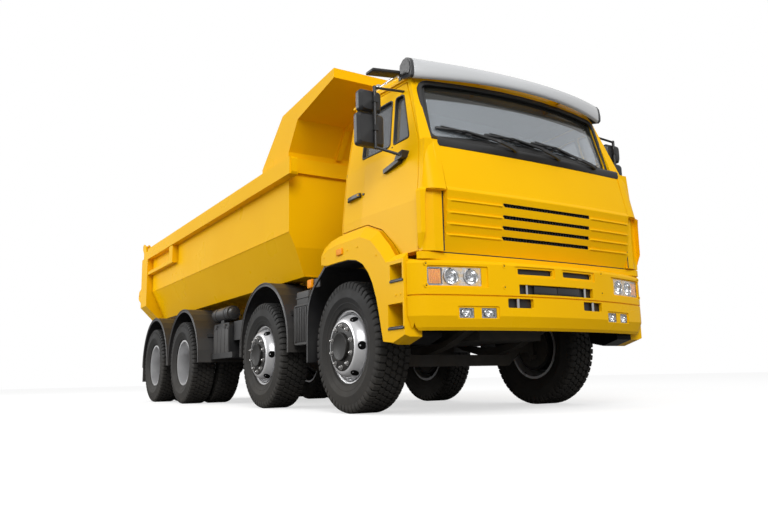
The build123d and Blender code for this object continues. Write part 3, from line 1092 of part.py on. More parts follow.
def tailgate():
    """Tailgate hung from two arms, with lower locking lugs."""
    face = BED_REAR - GATE_GAP
    low = -BED_FLOOR_HALF - 35
    outline = [
        (-TOP_RAIL_OUTER + 5, BED_TOP_Z - 130), (-TOP_RAIL_OUTER + 5, POST_KNEE_Z), (low, BED_FLOOR_Z - 45),
        (-low, BED_FLOOR_Z - 45), (TOP_RAIL_OUTER - 5, POST_KNEE_Z), (TOP_RAIL_OUTER - 5, BED_TOP_Z - 130),
    ]
    panel = front_prism(outline, (face - GATE_THICK, face))
    pocket = front_prism([(-1100, 2180), (-1100, 1560), (-900, 1340), (900, 1340), (1100, 1560), (1100, 2180)],
                         (face - GATE_THICK, face - 15))
    ribs = [span_box((face - GATE_THICK, face), (y - 25, y + 25), (1340, 2180)) for y in (-540, 0, 540)]
    panel = panel - pocket + ribs
    arm_y = (-TOP_RAIL_OUTER + 28, -TOP_RAIL_OUTER + 62)
    arm = side_prism(
        [(face - 90, BED_TOP_Z - 135), (face, BED_TOP_Z - 135), (GATE_HINGE_X + 30, GATE_HINGE_Z - 20),
         (GATE_HINGE_X + 30, GATE_HINGE_Z + 20), (GATE_HINGE_X, GATE_HINGE_Z + 36),
         (GATE_HINGE_X - 32, GATE_HINGE_Z + 10)], arm_y)
    pin = y_rod(15, GATE_HINGE_X, (-TOP_RAIL_OUTER + 2, -TOP_RAIL_OUTER + 88), GATE_HINGE_Z)
    lug_x = face - GATE_THICK
    lug = side_prism([(lug_x, 1800), (-REAR_REACH + 20, 1765), (-REAR_REACH, 1700), (-REAR_REACH, 1640),
                      (lug_x, 1570)], (-TOP_RAIL_OUTER + 5, -TOP_RAIL_OUTER + 30))
    lug = lug - y_rod(20, -REAR_REACH + 60, (-1300, -1100), 1690)
    return panel + both_sides(arm + pin + lug)


# ---------------------------------------------------------------- hoist
HOIST_LEAN = math.degrees(math.atan2(HOIST_EYE_X - HOIST_X, HOIST_EYE_Z - HOIST_Z))
HOIST_LENGTH = math.hypot(HOIST_EYE_X - HOIST_X, HOIST_EYE_Z - HOIST_Z)
STAGE_LENGTH = HOIST_LENGTH - 190


def along_hoist(shape):
    """Shape drawn along +Z from the lower pin, leaned onto the hoist's line."""
    return Pos(HOIST_X, 0, HOIST_Z) * Rot(0, HOIST_LEAN, 0) * shape


def hoist_barrel():
    """Outer barrel with its trunnion pins."""
    outer = HOIST_BARREL_R
    barrel = z_rod(outer, 0, 0, (-30, STAGE_LENGTH)) - z_rod(outer - HOIST_STEP + HOIST_GAP, 0, 0, (20, STAGE_LENGTH))
    pins = y_rod(HOIST_PIN_R, 0, (-outer - 50, -outer + 12), 0)
    return along_hoist(barrel + both_sides(pins))


def hoist_stage(number):
    """Sleeve of the telescope; the last one is solid and carries the eye."""
    outer = HOIST_BARREL_R - number * HOIST_STEP
    low = 22 + number * 4
    top = STAGE_LENGTH + 12 * number
    sleeve = z_rod(outer, 0, 0, (low, top))
    if number < HOIST_STAGES:
        return along_hoist(sleeve - z_rod(outer - HOIST_STEP + HOIST_GAP, 0, 0, (low + 2, top)))
    eye = y_rod(55, 0, (-40, 40), HOIST_LENGTH)
    neck = z_rod(outer - 8, 0, 0, (top, HOIST_LENGTH - 20))
    pin = y_rod(28, 0, (-80, 80), HOIST_LENGTH)
    return along_hoist(sleeve + neck + eye + pin)


# ---------------------------------------------------------------- export
def sub_parts():
    """Every node's name with its shape."""
    yield "frame_rails", frame_rails()
    yield "cross_members", cross_members()
    yield "front_axles", front_axles()
    yield "rear_axles", rear_axles()
    yield "springs", springs()
    yield "engine_block", engine_block()
    yield "cab_shell", cab_shell()
    yield "cab_glass", windshield() + rear_window()
    yield "windshield_trim", cowl() + windshield_seal()
    yield "front_panel", front_panel() + corner_deflectors()
    yield "bumper", bumper()
    yield "lamps", lamps()
    yield "lamp_housings", lamp_housings()
    yield "fenders", fenders()
    yield "sun_visor", sun_visor()
    yield "seats", seats()
    yield "dashboard", dashboard()
    yield "wipers", wipers()
    yield "mudguards", mudguards()
    yield "side_equipment", side_equipment()
    yield "rear_bumper", rear_bumper()
    yield "roof_fittings", roof_fittings()
    yield "bed_floor", bed_floor()
    yield "bed_sides", bed_sides()
    yield "bed_front", bed_front()
    yield "bed_rear_frame", bed_rear_frame()
    yield "tailgate", tailgate()
    yield "hoist_barrel", hoist_barrel()
    for number in range(1, HOIST_STAGES + 1):
        yield f"hoist_stage_{number}", hoist_stage(number)
    for side_name, side in SIDES:
        yield f"door_{side_name}", on_side(door(), side)
        yield f"door_glass_{side_name}", on_side(door_glass(), side)
        yield f"mirrors_{side_name}", on_side(mirrors(), side)
        for number, axle_x in STEERED_AXLES:
            yield f"knuckle_{number}_{side_name}", on_side(knuckle(axle_x), side)
            yield f"rim_{number}_{side_name}", on_side(front_rim(axle_x), side)
            yield f"tyre_{number}_{side_name}", on_side(tyre_ring(-FRONT_WHEEL_Y, axle_x), side)
        for number, axle_x in DRIVEN_AXLES:
            tyres = tyre_ring(-TWIN_OUTER_Y, axle_x) + tyre_ring(TWIN_SPACING - TWIN_OUTER_Y, axle_x)
            yield f"rims_{number}_{side_name}", on_side(twin_rim(axle_x), side)
            yield f"tyres_{number}_{side_name}", on_side(tyres, side)


os.makedirs("parts", exist_ok=True)
for node, shape in sub_parts():
    export_step(Pos(ORIGIN_X, 0, 0) * shape, f"parts/{node}.step")
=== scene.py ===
import math

import bmesh
import bpy
import numpy as np
from mathutils import Matrix, Vector


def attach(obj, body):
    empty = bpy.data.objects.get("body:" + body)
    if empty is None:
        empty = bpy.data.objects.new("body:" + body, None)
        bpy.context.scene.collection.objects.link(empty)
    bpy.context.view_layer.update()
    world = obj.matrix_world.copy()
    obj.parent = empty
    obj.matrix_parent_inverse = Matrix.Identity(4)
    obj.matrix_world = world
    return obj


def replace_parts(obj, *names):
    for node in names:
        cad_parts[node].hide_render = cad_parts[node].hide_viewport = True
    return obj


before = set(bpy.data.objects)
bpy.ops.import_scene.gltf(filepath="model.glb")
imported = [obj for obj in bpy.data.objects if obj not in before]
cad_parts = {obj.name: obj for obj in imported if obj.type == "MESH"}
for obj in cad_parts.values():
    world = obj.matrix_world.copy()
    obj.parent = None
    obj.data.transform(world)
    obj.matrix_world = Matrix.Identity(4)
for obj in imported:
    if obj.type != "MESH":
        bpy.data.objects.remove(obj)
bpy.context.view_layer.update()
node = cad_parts


# ---------------------------------------------------------------- studio
# A pale floor under soft lamps, and a camera low beside the right front corner, looking up.
# The background is the floor's and the room's own white.
def studio_camera():
    """Camera turned to its compass bearing, tipped up and rolled a little."""
    bearing, pitch, roll = math.radians(57.853), math.radians(-9.781), math.radians(-1.285)
    back = Vector((math.sin(bearing) * math.cos(pitch), -math.cos(bearing) * math.cos(pitch),
                   math.sin(pitch)))
    level = Vector((math.cos(bearing), math.sin(bearing), 0))
    rise = back.cross(level)
    right = math.cos(roll) * level + math.sin(roll) * rise
    up = -math.sin(roll) * level + math.cos(roll) * rise
    lens = bpy.data.cameras.new("studio_camera")
    lens.sensor_width = 36
    lens.lens = 33.03
    lens.clip_end = 200
    camera = bpy.data.objects.new("studio_camera", lens)
    bpy.context.scene.collection.objects.link(camera)
    turn = Matrix((right, up, back)).transposed()
    camera.matrix_world = Matrix.Translation((7.9175, -3.973, 0.283)) @ turn.to_4x4()
    bpy.context.scene.camera = camera


def soft_lamp(name, place, aim, size, watts):
    """Square area lamp at a place, facing the point it is aimed at."""
    data = bpy.data.lights.new(name, "AREA")
    data.shape = "SQUARE"
    data.size = size
    data.energy = watts
    lamp = bpy.data.objects.new(name, data)
    bpy.context.scene.collection.objects.link(lamp)
    direction = Vector(aim) - Vector(place)
    lamp.matrix_world = Matrix.Translation(place) @ direction.to_track_quat("-Z", "Y").to_matrix().to_4x4()


def wired(tree, kind, inputs=(), **settings):
    """New shader node with its settings; an input given an output is linked to it, and set otherwise."""
    made = tree.nodes.new("ShaderNode" + kind)
    for name, value in settings.items():
        setattr(made, name, value)
    for socket, value in dict(inputs).items():
        if isinstance(value, bpy.types.NodeSocket):
            tree.links.new(value, made.inputs[socket])
        else:
            made.inputs[socket].default_value = value
    return made


def room_light(overhead, level, below):
    """World that grades from overhead to below, and is plain white to the camera and through glass."""
    world = bpy.data.worlds.new("room")
    bpy.context.scene.world = world
    world.use_nodes = True
    tree = world.node_tree
    tree.nodes.clear()
    parts = wired(tree, "SeparateXYZ", {0: wired(tree, "TexCoord").outputs["Generated"]})
    spread = wired(tree, "MapRange", {"From Min": -1, "Value": parts.outputs["Z"]})
    ramp = wired(tree, "ValToRGB", {0: spread.outputs[0]})
    stops = ramp.color_ramp.elements
    stops[0].position, stops[0].color = 0.0, (below, below, below, 1)
    stops[1].position, stops[1].color = 1.0, (overhead, overhead, overhead, 1)
    stops.new(0.5).color = (level, level, level, 1)
    room = wired(tree, "Background", {"Color": ramp.outputs["Color"]})
    white = wired(tree, "Background", {"Color": (1, 1, 1, 1)})
    path = wired(tree, "LightPath").outputs
    seen = wired(tree, "Math", {0: path["Is Camera Ray"], 1: path["Is Transmission Ray"]},
                 operation="MAXIMUM")
    mix = wired(tree, "MixShader", {"Fac": seen.outputs[0], 1: room.outputs[0], 2: white.outputs[0]})
    wired(tree, "OutputWorld", {"Surface": mix.outputs[0]})


def studio_floor():
    """Wide flat floor that glows to the camera, keeps the truck's shadow and throws little light back."""
    reach = 60.0
    mesh = bpy.data.meshes.new("studio_floor")
    corners = [(-reach, -reach, 0), (reach, -reach, 0), (reach, reach, 0), (-reach, reach, 0)]
    mesh.from_pydata(corners, [], [(0, 1, 2, 3)])
    floor = bpy.data.objects.new("studio_floor", mesh)
    bpy.context.scene.collection.objects.link(floor)
    material = bpy.data.materials.new("studio_floor")
    material.use_nodes = True
    tree = material.node_tree
    tree.nodes.clear()
    matt = wired(tree, "BsdfDiffuse", {"Color": (0.45, 0.45, 0.45, 1)})
    glow = wired(tree, "Emission", {"Color": (1, 1, 1, 1), "Strength": 0.62})
    both = wired(tree, "AddShader", {0: matt.outputs[0], 1: glow.outputs[0]})
    bounced = wired(tree, "BsdfDiffuse", {"Color": (0.22, 0.22, 0.22, 1)})
    seen = wired(tree, "LightPath").outputs["Is Camera Ray"]
    mix = wired(tree, "MixShader", {"Fac": seen, 1: bounced.outputs[0], 2: both.outputs[0]})
    wired(tree, "OutputMaterial", {"Surface": mix.outputs[0]})
    mesh.materials.append(material)


studio_camera()
room_light(overhead=0.80, level=0.55, below=0.10)
soft_lamp("key_lamp", (12.5, -5.5, 8.0), (2.0, -0.5, 1.5), 6.0, 1000)
soft_lamp("side_lamp", (-8.0, -12.0, 6.0), (-2.0, 0.0, 1.8), 7.0, 1100)
studio_floor()
bpy.context.scene.view_settings.view_transform = "Standard"


# ---------------------------------------------------------------- frame and driveline finishes
# Ladder frame, axles and springs are steel in satin black chassis paint with dry road dust low down.
# Finishes are shader recipes on the metal's own place, so they don't slide when it moves.
def weathered_group():
    """Shader group: two tones mottled by noise, dust that thins with height, and a fine surface grain."""
    group = bpy.data.node_groups.new("weathered", "ShaderNodeTree")
    face = group.interface
    for name, kind, value in (("Tone", "NodeSocketColor", (0.5, 0.5, 0.5, 1)),
                              ("Second Tone", "NodeSocketColor", (0.4, 0.4, 0.4, 1)),
                              ("Dust", "NodeSocketColor", (0.3, 0.26, 0.2, 1)),
                              ("Mottle Scale", "NodeSocketFloat", 3.0),
                              ("Dust Height", "NodeSocketFloat", 1.0),
                              ("Dust Amount", "NodeSocketFloat", 0.2), ("Smooth", "NodeSocketFloat", 0.3),
                              ("Rough", "NodeSocketFloat", 0.5), ("Grain Scale", "NodeSocketFloat", 200.0)):
        socket = face.new_socket(name=name, in_out="INPUT", socket_type=kind)
        socket.default_value = value
    for name, kind in (("Color", "NodeSocketColor"), ("Roughness", "NodeSocketFloat"),
                       ("Grain", "NodeSocketFloat")):
        face.new_socket(name=name, in_out="OUTPUT", socket_type=kind)
    given, put = group.nodes.new("NodeGroupInput").outputs, group.nodes.new("NodeGroupOutput").inputs
    place = wired(group, "TexCoord").outputs["Object"]
    mottle = wired(group, "TexNoise", {"Detail": 6, "Vector": place, "Scale": given["Mottle Scale"]})
    spread = wired(group, "MapRange", {"From Min": 0.35, "From Max": 0.68, "Value": mottle.outputs["Fac"]})
    tones = wired(group, "Mix", {"Factor": spread.outputs[0], "A": given["Tone"], "B": given["Second Tone"]},
                  data_type="RGBA")
    parts = wired(group, "SeparateXYZ", {0: place})
    height = wired(group, "MapRange", {"To Min": 1, "To Max": 0, "Value": parts.outputs["Z"],
                                       "From Max": given["Dust Height"]})
    cloud = wired(group, "TexNoise", {"Scale": 5.5, "Detail": 9, "Vector": place})
    film = wired(group, "Math", {0: height.outputs[0], 1: cloud.outputs["Fac"]}, operation="MULTIPLY")
    dusty = wired(group, "Math", {0: film.outputs[0], 1: given["Dust Amount"]}, operation="MULTIPLY",
                  use_clamp=True)
    coat = wired(group, "Mix", {"Factor": dusty.outputs[0], "A": tones.outputs["Result"], "B": given["Dust"]},
                 data_type="RGBA")
    sheen = wired(group, "Math", {0: spread.outputs[0], 1: dusty.outputs[0]}, operation="ADD", use_clamp=True)
    rough = wired(group, "Mix", {"Factor": sheen.outputs[0], "A": given["Smooth"], "B": given["Rough"]},
                  data_type="FLOAT")
    grain = wired(group, "TexNoise", {"Detail": 3, "Vector": place, "Scale": given["Grain Scale"]})
    for name, source in (("Color", coat.outputs["Result"]), ("Roughness", rough.outputs["Result"]),
                         ("Grain", grain.outputs["Fac"])):
        group.links.new(source, put[name])
    return group


weathered = weathered_group()


def finish(name, tone, second, smooth, rough, dust=0.0, dust_height=1.2, dust_tone=(0.20, 0.17, 0.13),
           mottle=3.0, grain=220.0, grain_depth=0.0005, edge=0.0, **shader_values):
    """Material of the weathered group on a Principled shader, with a grain bump and softened edges."""
    material = bpy.data.materials.new(name)
    material.use_nodes = True
    tree = material.node_tree
    shader = tree.nodes["Principled BSDF"]
    skin = wired(tree, "Group", {"Tone": (*tone, 1), "Second Tone": (*second, 1), "Dust": (*dust_tone, 1),
                                 "Mottle Scale": mottle, "Dust Height": dust_height, "Dust Amount": dust,
                                 "Smooth": smooth, "Rough": rough, "Grain Scale": grain}, node_tree=weathered)
    bump = wired(tree, "Bump", {"Strength": 0.6, "Distance": grain_depth, "Height": skin.outputs["Grain"]})
    if edge:
        soft_edge = wired(tree, "Bevel", {"Radius": edge}, samples=4)
        tree.links.new(soft_edge.outputs["Normal"], bump.inputs["Normal"])
    for socket, source in (("Base Color", skin.outputs["Color"]), ("Roughness", skin.outputs["Roughness"]),
                           ("Normal", bump.outputs["Normal"])):
        tree.links.new(source, shader.inputs[socket])
    for socket, value in shader_values.items():
        shader.inputs[socket.replace("_", " ")].default_value = value
    return material


def dress(material, *names):
    """Give CAD nodes one finish."""
    for name in names:
        mesh = node[name].data
        mesh.materials.clear()
        mesh.materials.append(material)


chassis_paint = finish("chassis_paint", (0.012, 0.012, 0.013), (0.028, 0.027, 0.026), 0.38, 0.62, dust=0.45,
                       grain_depth=0.0004, edge=0.004)
cast_iron = finish("cast_iron", (0.014, 0.014, 0.014), (0.035, 0.031, 0.027), 0.5, 0.75, dust=0.6, mottle=9,
                   grain=90, grain_depth=0.002)
spring_steel = finish("spring_steel", (0.016, 0.015, 0.015), (0.04, 0.034, 0.028), 0.42, 0.7, dust=0.5,
                      mottle=12)
dress(chassis_paint, "frame_rails", "cross_members")
dress(cast_iron, "front_axles", "rear_axles", "engine_block", "knuckle_1_right", "knuckle_1_left",
      "knuckle_2_right", "knuckle_2_left")
dress(spring_steel, "springs")


def grid(points, wrap_rows=False, wrap_columns=False):
    """Quads between neighbouring rows and columns of an (n, m, 3) array, joined round where asked."""
    rows, columns = points.shape[:2]
    r = np.arange(rows if wrap_rows else rows - 1)[:, None]
    c = np.arange(columns if wrap_columns else columns - 1)[None, :]
    r2, c2 = (r + 1) % rows, (c + 1) % columns
    quads = np.stack([r * columns + c, r2 * columns + c, r2 * columns + c2, r * columns + c2], -1).reshape(-1,
                                                                                                           4)
    return points.reshape(-1, 3), [quads]


def stacked(shapes):
    """Several (points, faces) shapes as one, with each one's face numbers moved past those before it."""
    starts = np.cumsum([0] + [len(points) for points, _ in shapes[:-1]])
    faces = [block + start for (_, blocks), start in zip(shapes, starts) for block in blocks]
    return np.concatenate([points for points, _ in shapes]), faces


def copies(shape, places):
    """The same shape at each of several places, by adding each place to every point."""
    points, faces = shape
    places = np.asarray(places, float)
    moved = (points[None] + places[:, None]).reshape(-1, 3)
    steps = np.arange(len(places)) * len(points)
    return moved, [(block[None] + steps[:, None, None]).reshape(-1, block.shape[1]) for block in faces]


def across(shape):
    """The shape mirrored over the truck's centre plane, y to -y."""
    points, faces = shape
    return points * (1, -1, 1), [block[:, ::-1] for block in faces]


def both_sides(*shapes):
    """The shapes as one, together with their mirror image."""
    right = stacked(shapes)
    return stacked([right, across(right)])


def moved(shape, place):
    """The shape with a place added to every point."""
    return shape[0] + place, shape[1]


def bare_object(name, points, faces):
    """Object of a mesh made from points and blocks of faces, in the scene."""
    mesh = bpy.data.meshes.new(name)
    mesh.from_pydata(points.tolist(), [], [face for block in faces for face in block.tolist()])
    made = bpy.data.objects.new(name, mesh)
    bpy.context.scene.collection.objects.link(made)
    return made


def merge_shell(mesh):
    """Doubles merged and faces turned outwards; a shell that still holds a negative volume is reversed."""
    shell = bmesh.new()
    shell.from_mesh(mesh)
    bmesh.ops.remove_doubles(shell, verts=shell.verts, dist=2e-5)
    bmesh.ops.recalc_face_normals(shell, faces=shell.faces)
    if shell.calc_volume(signed=True) < 0:
        bmesh.ops.reverse_faces(shell, faces=shell.faces)
    shell.to_mesh(mesh)
    shell.free()


def piece(name, shape, material, body, crease=35.0, closed=True):
    """Finished object of a (points, faces) shape on its body; edges over crease degrees stay sharp."""
    made = bare_object(name, *shape)
    mesh = made.data
    if closed:
        merge_shell(mesh)
    mesh.shade_smooth()
    mesh.set_sharp_from_angle(angle=math.radians(crease))
    mesh.materials.append(material)
    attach(made, body)
    return made


def lathe(profile, turns=72):
    """Profile of (radius, along y) swept round the y axis; ends on the axis close to a point."""
    profile = np.asarray(profile, float)
    angle = np.linspace(0, 2 * np.pi, turns, endpoint=False)
    ring = np.stack([np.cos(angle), np.zeros(turns), np.sin(angle)], -1)
    points = profile[:, 0, None, None] * ring + profile[:, 1, None, None] * np.array([0, 1, 0])
    return grid(points, wrap_columns=True)


def tube(path, radius, sides=12, upright=(0, 0, 1)):
    """Circle carried along a path; each ring stands square to the path's own direction there. Flat ends."""
    path = np.asarray(path, float)
    along = np.gradient(path, axis=0)
    along /= np.linalg.norm(along, axis=1, keepdims=True)
    first = np.cross(along, upright)
    first /= np.linalg.norm(first, axis=1, keepdims=True)
    second = np.cross(along, first)
    angle = np.linspace(0, 2 * np.pi, sides, endpoint=False)[:, None]
    ring = np.cos(angle) * first[:, None] + np.sin(angle) * second[:, None]
    points = path[:, None] + ring * np.broadcast_to(radius, len(path)).reshape(-1, 1, 1)
    points = np.concatenate([np.repeat(path[:1, None], sides, 1), points,
                             np.repeat(path[-1:, None], sides, 1)])
    return grid(points, wrap_columns=True)


def soft_box(low, high, radius, steps=4):
    """Box with rounded edges: a ball's grid whose eight parts are pushed out to the corners."""
    low, high = np.asarray(low, float), np.asarray(high, float)
    quarter = np.linspace(0, np.pi / 2, steps + 1)
    turn = np.concatenate([quarter + k * np.pi / 2 for k in range(4)])
    rise = np.concatenate([quarter - np.pi / 2, quarter])
    sign_x = np.repeat([1, -1, -1, 1], steps + 1)
    sign_y = np.repeat([1, 1, -1, -1], steps + 1)
    sign_z = np.repeat([-1, 1], steps + 1)
    ball = np.stack([np.cos(rise)[:, None] * np.cos(turn), np.cos(rise)[:, None] * np.sin(turn),
                     np.sin(rise)[:, None] + 0 * turn], -1)
    signs = np.stack(np.broadcast_arrays(sign_x[None, :], sign_y[None, :], sign_z[:, None]), -1)
    points = (low + high) / 2 + signs * ((high - low) / 2 - radius) + ball * radius
    points = np.concatenate([points[:1] * 0 + points[:1].mean(1, keepdims=True), points,
                             points[-1:] * 0 + points[-1:].mean(1, keepdims=True)])
    return grid(points, wrap_columns=True)


def turned_to(shape, axis):
    """A shape drawn along +z, turned so that +z points along an axis of the truck."""
    points, faces = shape
    x, y, z = points.T
    views = {"+x": (z, x, y), "-x": (-z, -x, y), "+y": (x, z, -y), "-y": (x, -z, y), "+z": (x, y, z),
             "-z": (x, -y, -z)}
    return np.stack(views[axis], -1), faces


def hex_head(across_flats, height):
    """Hexagon bolt head on a round washer, drawn from z = 0 up: rings of six and twelve points."""
    flat = across_flats / 2
    angle = np.radians(np.arange(0, 360, 30))
    hexagon = np.stack([np.cos(angle), np.sin(angle)],
                       -1) * (flat / np.cos((angle + np.pi / 6) % (np.pi / 3) - np.pi / 6))[:, None]
    disc = np.stack([np.cos(angle), np.sin(angle)], -1) * flat
    rings = [(disc * 1.45, 0), (disc * 1.45, height * 0.18), (hexagon, height * 0.18),
             (hexagon, height * 0.88), (hexagon * 0.86, height), (hexagon * 0, height)]
    points = np.stack([np.concatenate([ring, np.full((12, 1), z)], 1) for ring, z in rings])
    return grid(points, wrap_columns=True)


# ---------------------------------------------------------------- tyres
# Radial truck tyres: three rows of six-sided blocks, shoulder lugs that run down the wall, ringed sidewalls.
# Each is a lathed carcass with the blocks set on it, drawn about its own wheel line and moved to each wheel.
front_axle = 2.8305
tyre_radius = wheel_height = 0.538
axle_places = {"1": front_axle, "2": front_axle - 1.8, "3": front_axle - 4.39, "4": front_axle - 5.83}
pitches = 56
pitch = 2 * np.pi / pitches


def tread_block(across_low, across_high, depth):
    """Six-sided block of one pitch: outline in (share of pitch, across) at top, bevel and foot."""
    middle, half = (across_low + across_high) / 2, (across_high - across_low) / 2
    outline = np.array([(-0.44, 0.0), (-0.30, -1), (0.30, -1), (0.44, 0.0), (0.30, 1), (-0.30, 1)])
    rings = []
    for share, sink in ((0.0, 0.0), (0.90, 0.0), (1.0, 0.0022), (1.06, depth)):
        turn = (outline[:, 0] * share + outline[:, 1] * share * 0.12) * pitch
        rings.append(np.stack([turn, middle + outline[:, 1] * half * share, np.full(6, tyre_radius - sink)],
                              -1))
    return np.stack(rings)


def beside(line):
    """Unit normals of a flat line of points, a quarter turn clockwise from its run."""
    along = np.gradient(line, axis=0)
    return np.stack([along[:, 1], -along[:, 0]], -1) / np.linalg.norm(along, axis=1, keepdims=True)


def shoulder_lug(line, width, height):
    """Lug that follows the shoulder line of (radius, across): a raised strip with bevelled flanks."""
    line = np.asarray(line, float)
    out = -beside(line)
    out *= np.sign(out[:, :1] + 1e-9)
    foot = np.full(len(line), -0.003)
    rows = []
    for share, rise in ((-0.54, foot), (-0.46, height * 0.85), (-0.40, height), (0.40, height),
                        (0.46, height * 0.85), (0.54, foot)):
        lifted = line + out * rise[:, None]
        rows.append(np.stack([np.full(len(line), share * width * pitch), lifted[:, 1], lifted[:, 0]], -1))
    return np.stack(rows)


def round_wheel(points):
    """(turn, across, radius) to the truck's axes, about a wheel line along y."""
    turn, along, radius = np.moveaxis(points, -1, 0)
    return np.stack([radius * np.sin(turn), along, radius * np.cos(turn)], -1)


def tyre_shape():
    """Carcass and all of its blocks, about the origin."""
    groove = 0.017
    wall = [(0.287, 0.100), (0.298, 0.1085), (0.303, 0.114), (0.312, 0.118), (0.318, 0.127), (0.336, 0.1335),
            (0.352, 0.1395), (0.356, 0.1425), (0.362, 0.1425), (0.366, 0.1450), (0.398, 0.1535),
            (0.402, 0.1560), (0.409, 0.1560), (0.413, 0.1550), (0.446, 0.1530), (0.472, 0.1475),
            (0.494, 0.1420), (0.508, 0.1360), (0.517, 0.1270), (tyre_radius - groove, 0.1130)]
    floor = [(tyre_radius - groove, 0.04), (tyre_radius - groove, -0.04)]
    profile = wall + floor + [(r, -a) for r, a in wall[::-1]]
    points, faces = lathe(profile, 168)
    carcass = (points, [block[:, ::-1] for block in faces])
    shoulder = [(tyre_radius - groove, 0.0830), (tyre_radius - groove, 0.1130), (0.517, 0.1270),
                (0.508, 0.1360), (0.494, 0.1420), (0.470, 0.1475)]
    lift = np.array([groove, groove, groove * 0.93, groove * 0.72, groove * 0.42, 0.0015])
    turns = np.arange(pitches) * pitch
    blocks = []
    for low, high, shift in ((-0.0235, 0.0235, 0.0), (0.0290, 0.0765, 0.5), (-0.0765, -0.0290, 0.5)):
        block = tread_block(low, high, groove)
        blocks += [grid(round_wheel(block + (turn + shift * pitch, 0, 0)), wrap_columns=True)
                   for turn in turns]
    for side in (1, -1):
        lug = shoulder_lug(shoulder, 0.80, lift) * (1, side, 1)
        for turn in turns:
            points, faces = grid(round_wheel(lug + (turn, 0, 0)))
            blocks.append((points, [block[:, ::side] for block in faces]))
    return stacked([carcass, *blocks])


rubber = finish("tyre_compound", (0.018, 0.018, 0.018), (0.028, 0.027, 0.026), 0.62, 0.8, dust=0.22,
                dust_height=0.9, mottle=6, grain=160, grain_depth=0.0006, Specular_IOR_Level=0.25)
one_tyre = tyre_shape()
for number, across_places in (("1", (1.02,)), ("2", (1.02,)), ("3", (1.095, 0.75)), ("4", (1.095, 0.75))):
    for side, sign in (("right", -1), ("left", 1)):
        tyre_name = ("tyre_" if number in "12" else "tyres_") + f"{number}_{side}"
        spots = [(axle_places[number], sign * along, wheel_height) for along in across_places]
        tyre = piece(f"{tyre_name}_treaded", copies(one_tyre, spots), rubber, f"wheel_{number}_{side}",
                     crease=28, closed=False)
        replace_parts(tyre, tyre_name)


# ---------------------------------------------------------------- wheels
# Steel disc wheels in silver paint; their hubs and drums are black castings, held by ten bright nuts each.
# The steered hubs stand proud of the disc under a plate and cap, the driven ones sit deep in the dish.
def dress_faces(name, materials, choose):
    """Give a CAD node several finishes; choose(x, y, z, normals) returns each face's finish number."""
    mesh = node[name].data
    mesh.materials.clear()
    for material in materials:
        mesh.materials.append(material)
    places, normals = np.empty((2, len(mesh.polygons) * 3))
    mesh.polygons.foreach_get("center", places)
    mesh.polygons.foreach_get("normal", normals)
    picked = choose(*places.reshape(-1, 3).T, normals.reshape(-1, 3))
    mesh.polygons.foreach_set("material_index", np.asarray(picked, dtype=np.int32))
    mesh.update()


wheel_silver = finish("wheel_silver", (0.66, 0.66, 0.67), (0.72, 0.72, 0.73), 0.26, 0.34, dust=0.10,
                      dust_height=1.1, dust_tone=(0.20, 0.18, 0.15), mottle=2, grain=350, grain_depth=0.0001,
                      Metallic=0.55)
hub_black = finish("hub_black", (0.010, 0.010, 0.010), (0.016, 0.016, 0.015), 0.34, 0.46, dust=0.10, mottle=6,
                   grain=240, grain_depth=0.0002, Specular_IOR_Level=0.25)
nut_steel = finish("nut_steel", (0.62, 0.61, 0.60), (0.52, 0.51, 0.50), 0.20, 0.34, dust=0.08, mottle=20,
                   Metallic=0.9)


def ring_of(shape, radius, count, along, shift=0.0):
    """A shape drawn along -y, repeated on a circle about the wheel line."""
    turn = np.arange(count) * 2 * np.pi / count + shift
    return copies(shape, np.stack([radius * np.cos(turn), np.full(count, along), radius * np.sin(turn)], -1))


def steered_disc():
    """Rim with a lip at each edge and a disc that cones outward from it to the hub face."""
    return lathe([(0.2985, -0.1165), (0.2990, -0.1130), (0.2985, -0.1095), (0.2860, -0.1080),
                  (0.2855, -0.095), (0.2855, 0.095), (0.2860, 0.1080), (0.2985, 0.1095), (0.2985, 0.1160),
                  (0.2765, 0.1160), (0.2765, -0.030), (0.2640, -0.060), (0.2500, -0.105), (0.2320, -0.142),
                  (0.2140, -0.163), (0.1900, -0.168), (0.1900, -0.180), (0.2100, -0.1785), (0.2200, -0.1745),
                  (0.2290, -0.1660), (0.2400, -0.1500), (0.2520, -0.1260), (0.2600, -0.1040),
                  (0.2665, -0.0860), (0.2700, -0.0780), (0.2745, -0.0745), (0.2765, -0.0800),
                  (0.2765, -0.1140), (0.2790, -0.1165)], 96)


def rotated(points, turn, first, second):
    """Points turned by an angle from one axis toward another: x cos - y sin, then x sin + y cos."""
    result = points.copy()
    result[:, first] = points[:, first] * np.cos(turn) - points[:, second] * np.sin(turn)
    result[:, second] = points[:, first] * np.sin(turn) + points[:, second] * np.cos(turn)
    return result


def hand_hole_shade_discs():
    """Six openings round the cone: a dark disc square to the cone's face inside a thin lip, painted shade
    standing for the dark inside of each hole.
    """
    points, faces = lathe([(0.0, 0.0002), (0.0310, 0.0002), (0.0322, 0.0014), (0.0338, 0.0014),
                           (0.0346, -0.004)], 28)
    tipped = rotated(points * (1, -1, 1), np.radians(62), 0, 1) + (0.2475, -0.1350, 0)
    return stacked([(rotated(tipped, turn, 0, 2), faces) for turn in np.arange(6) * np.pi / 3])


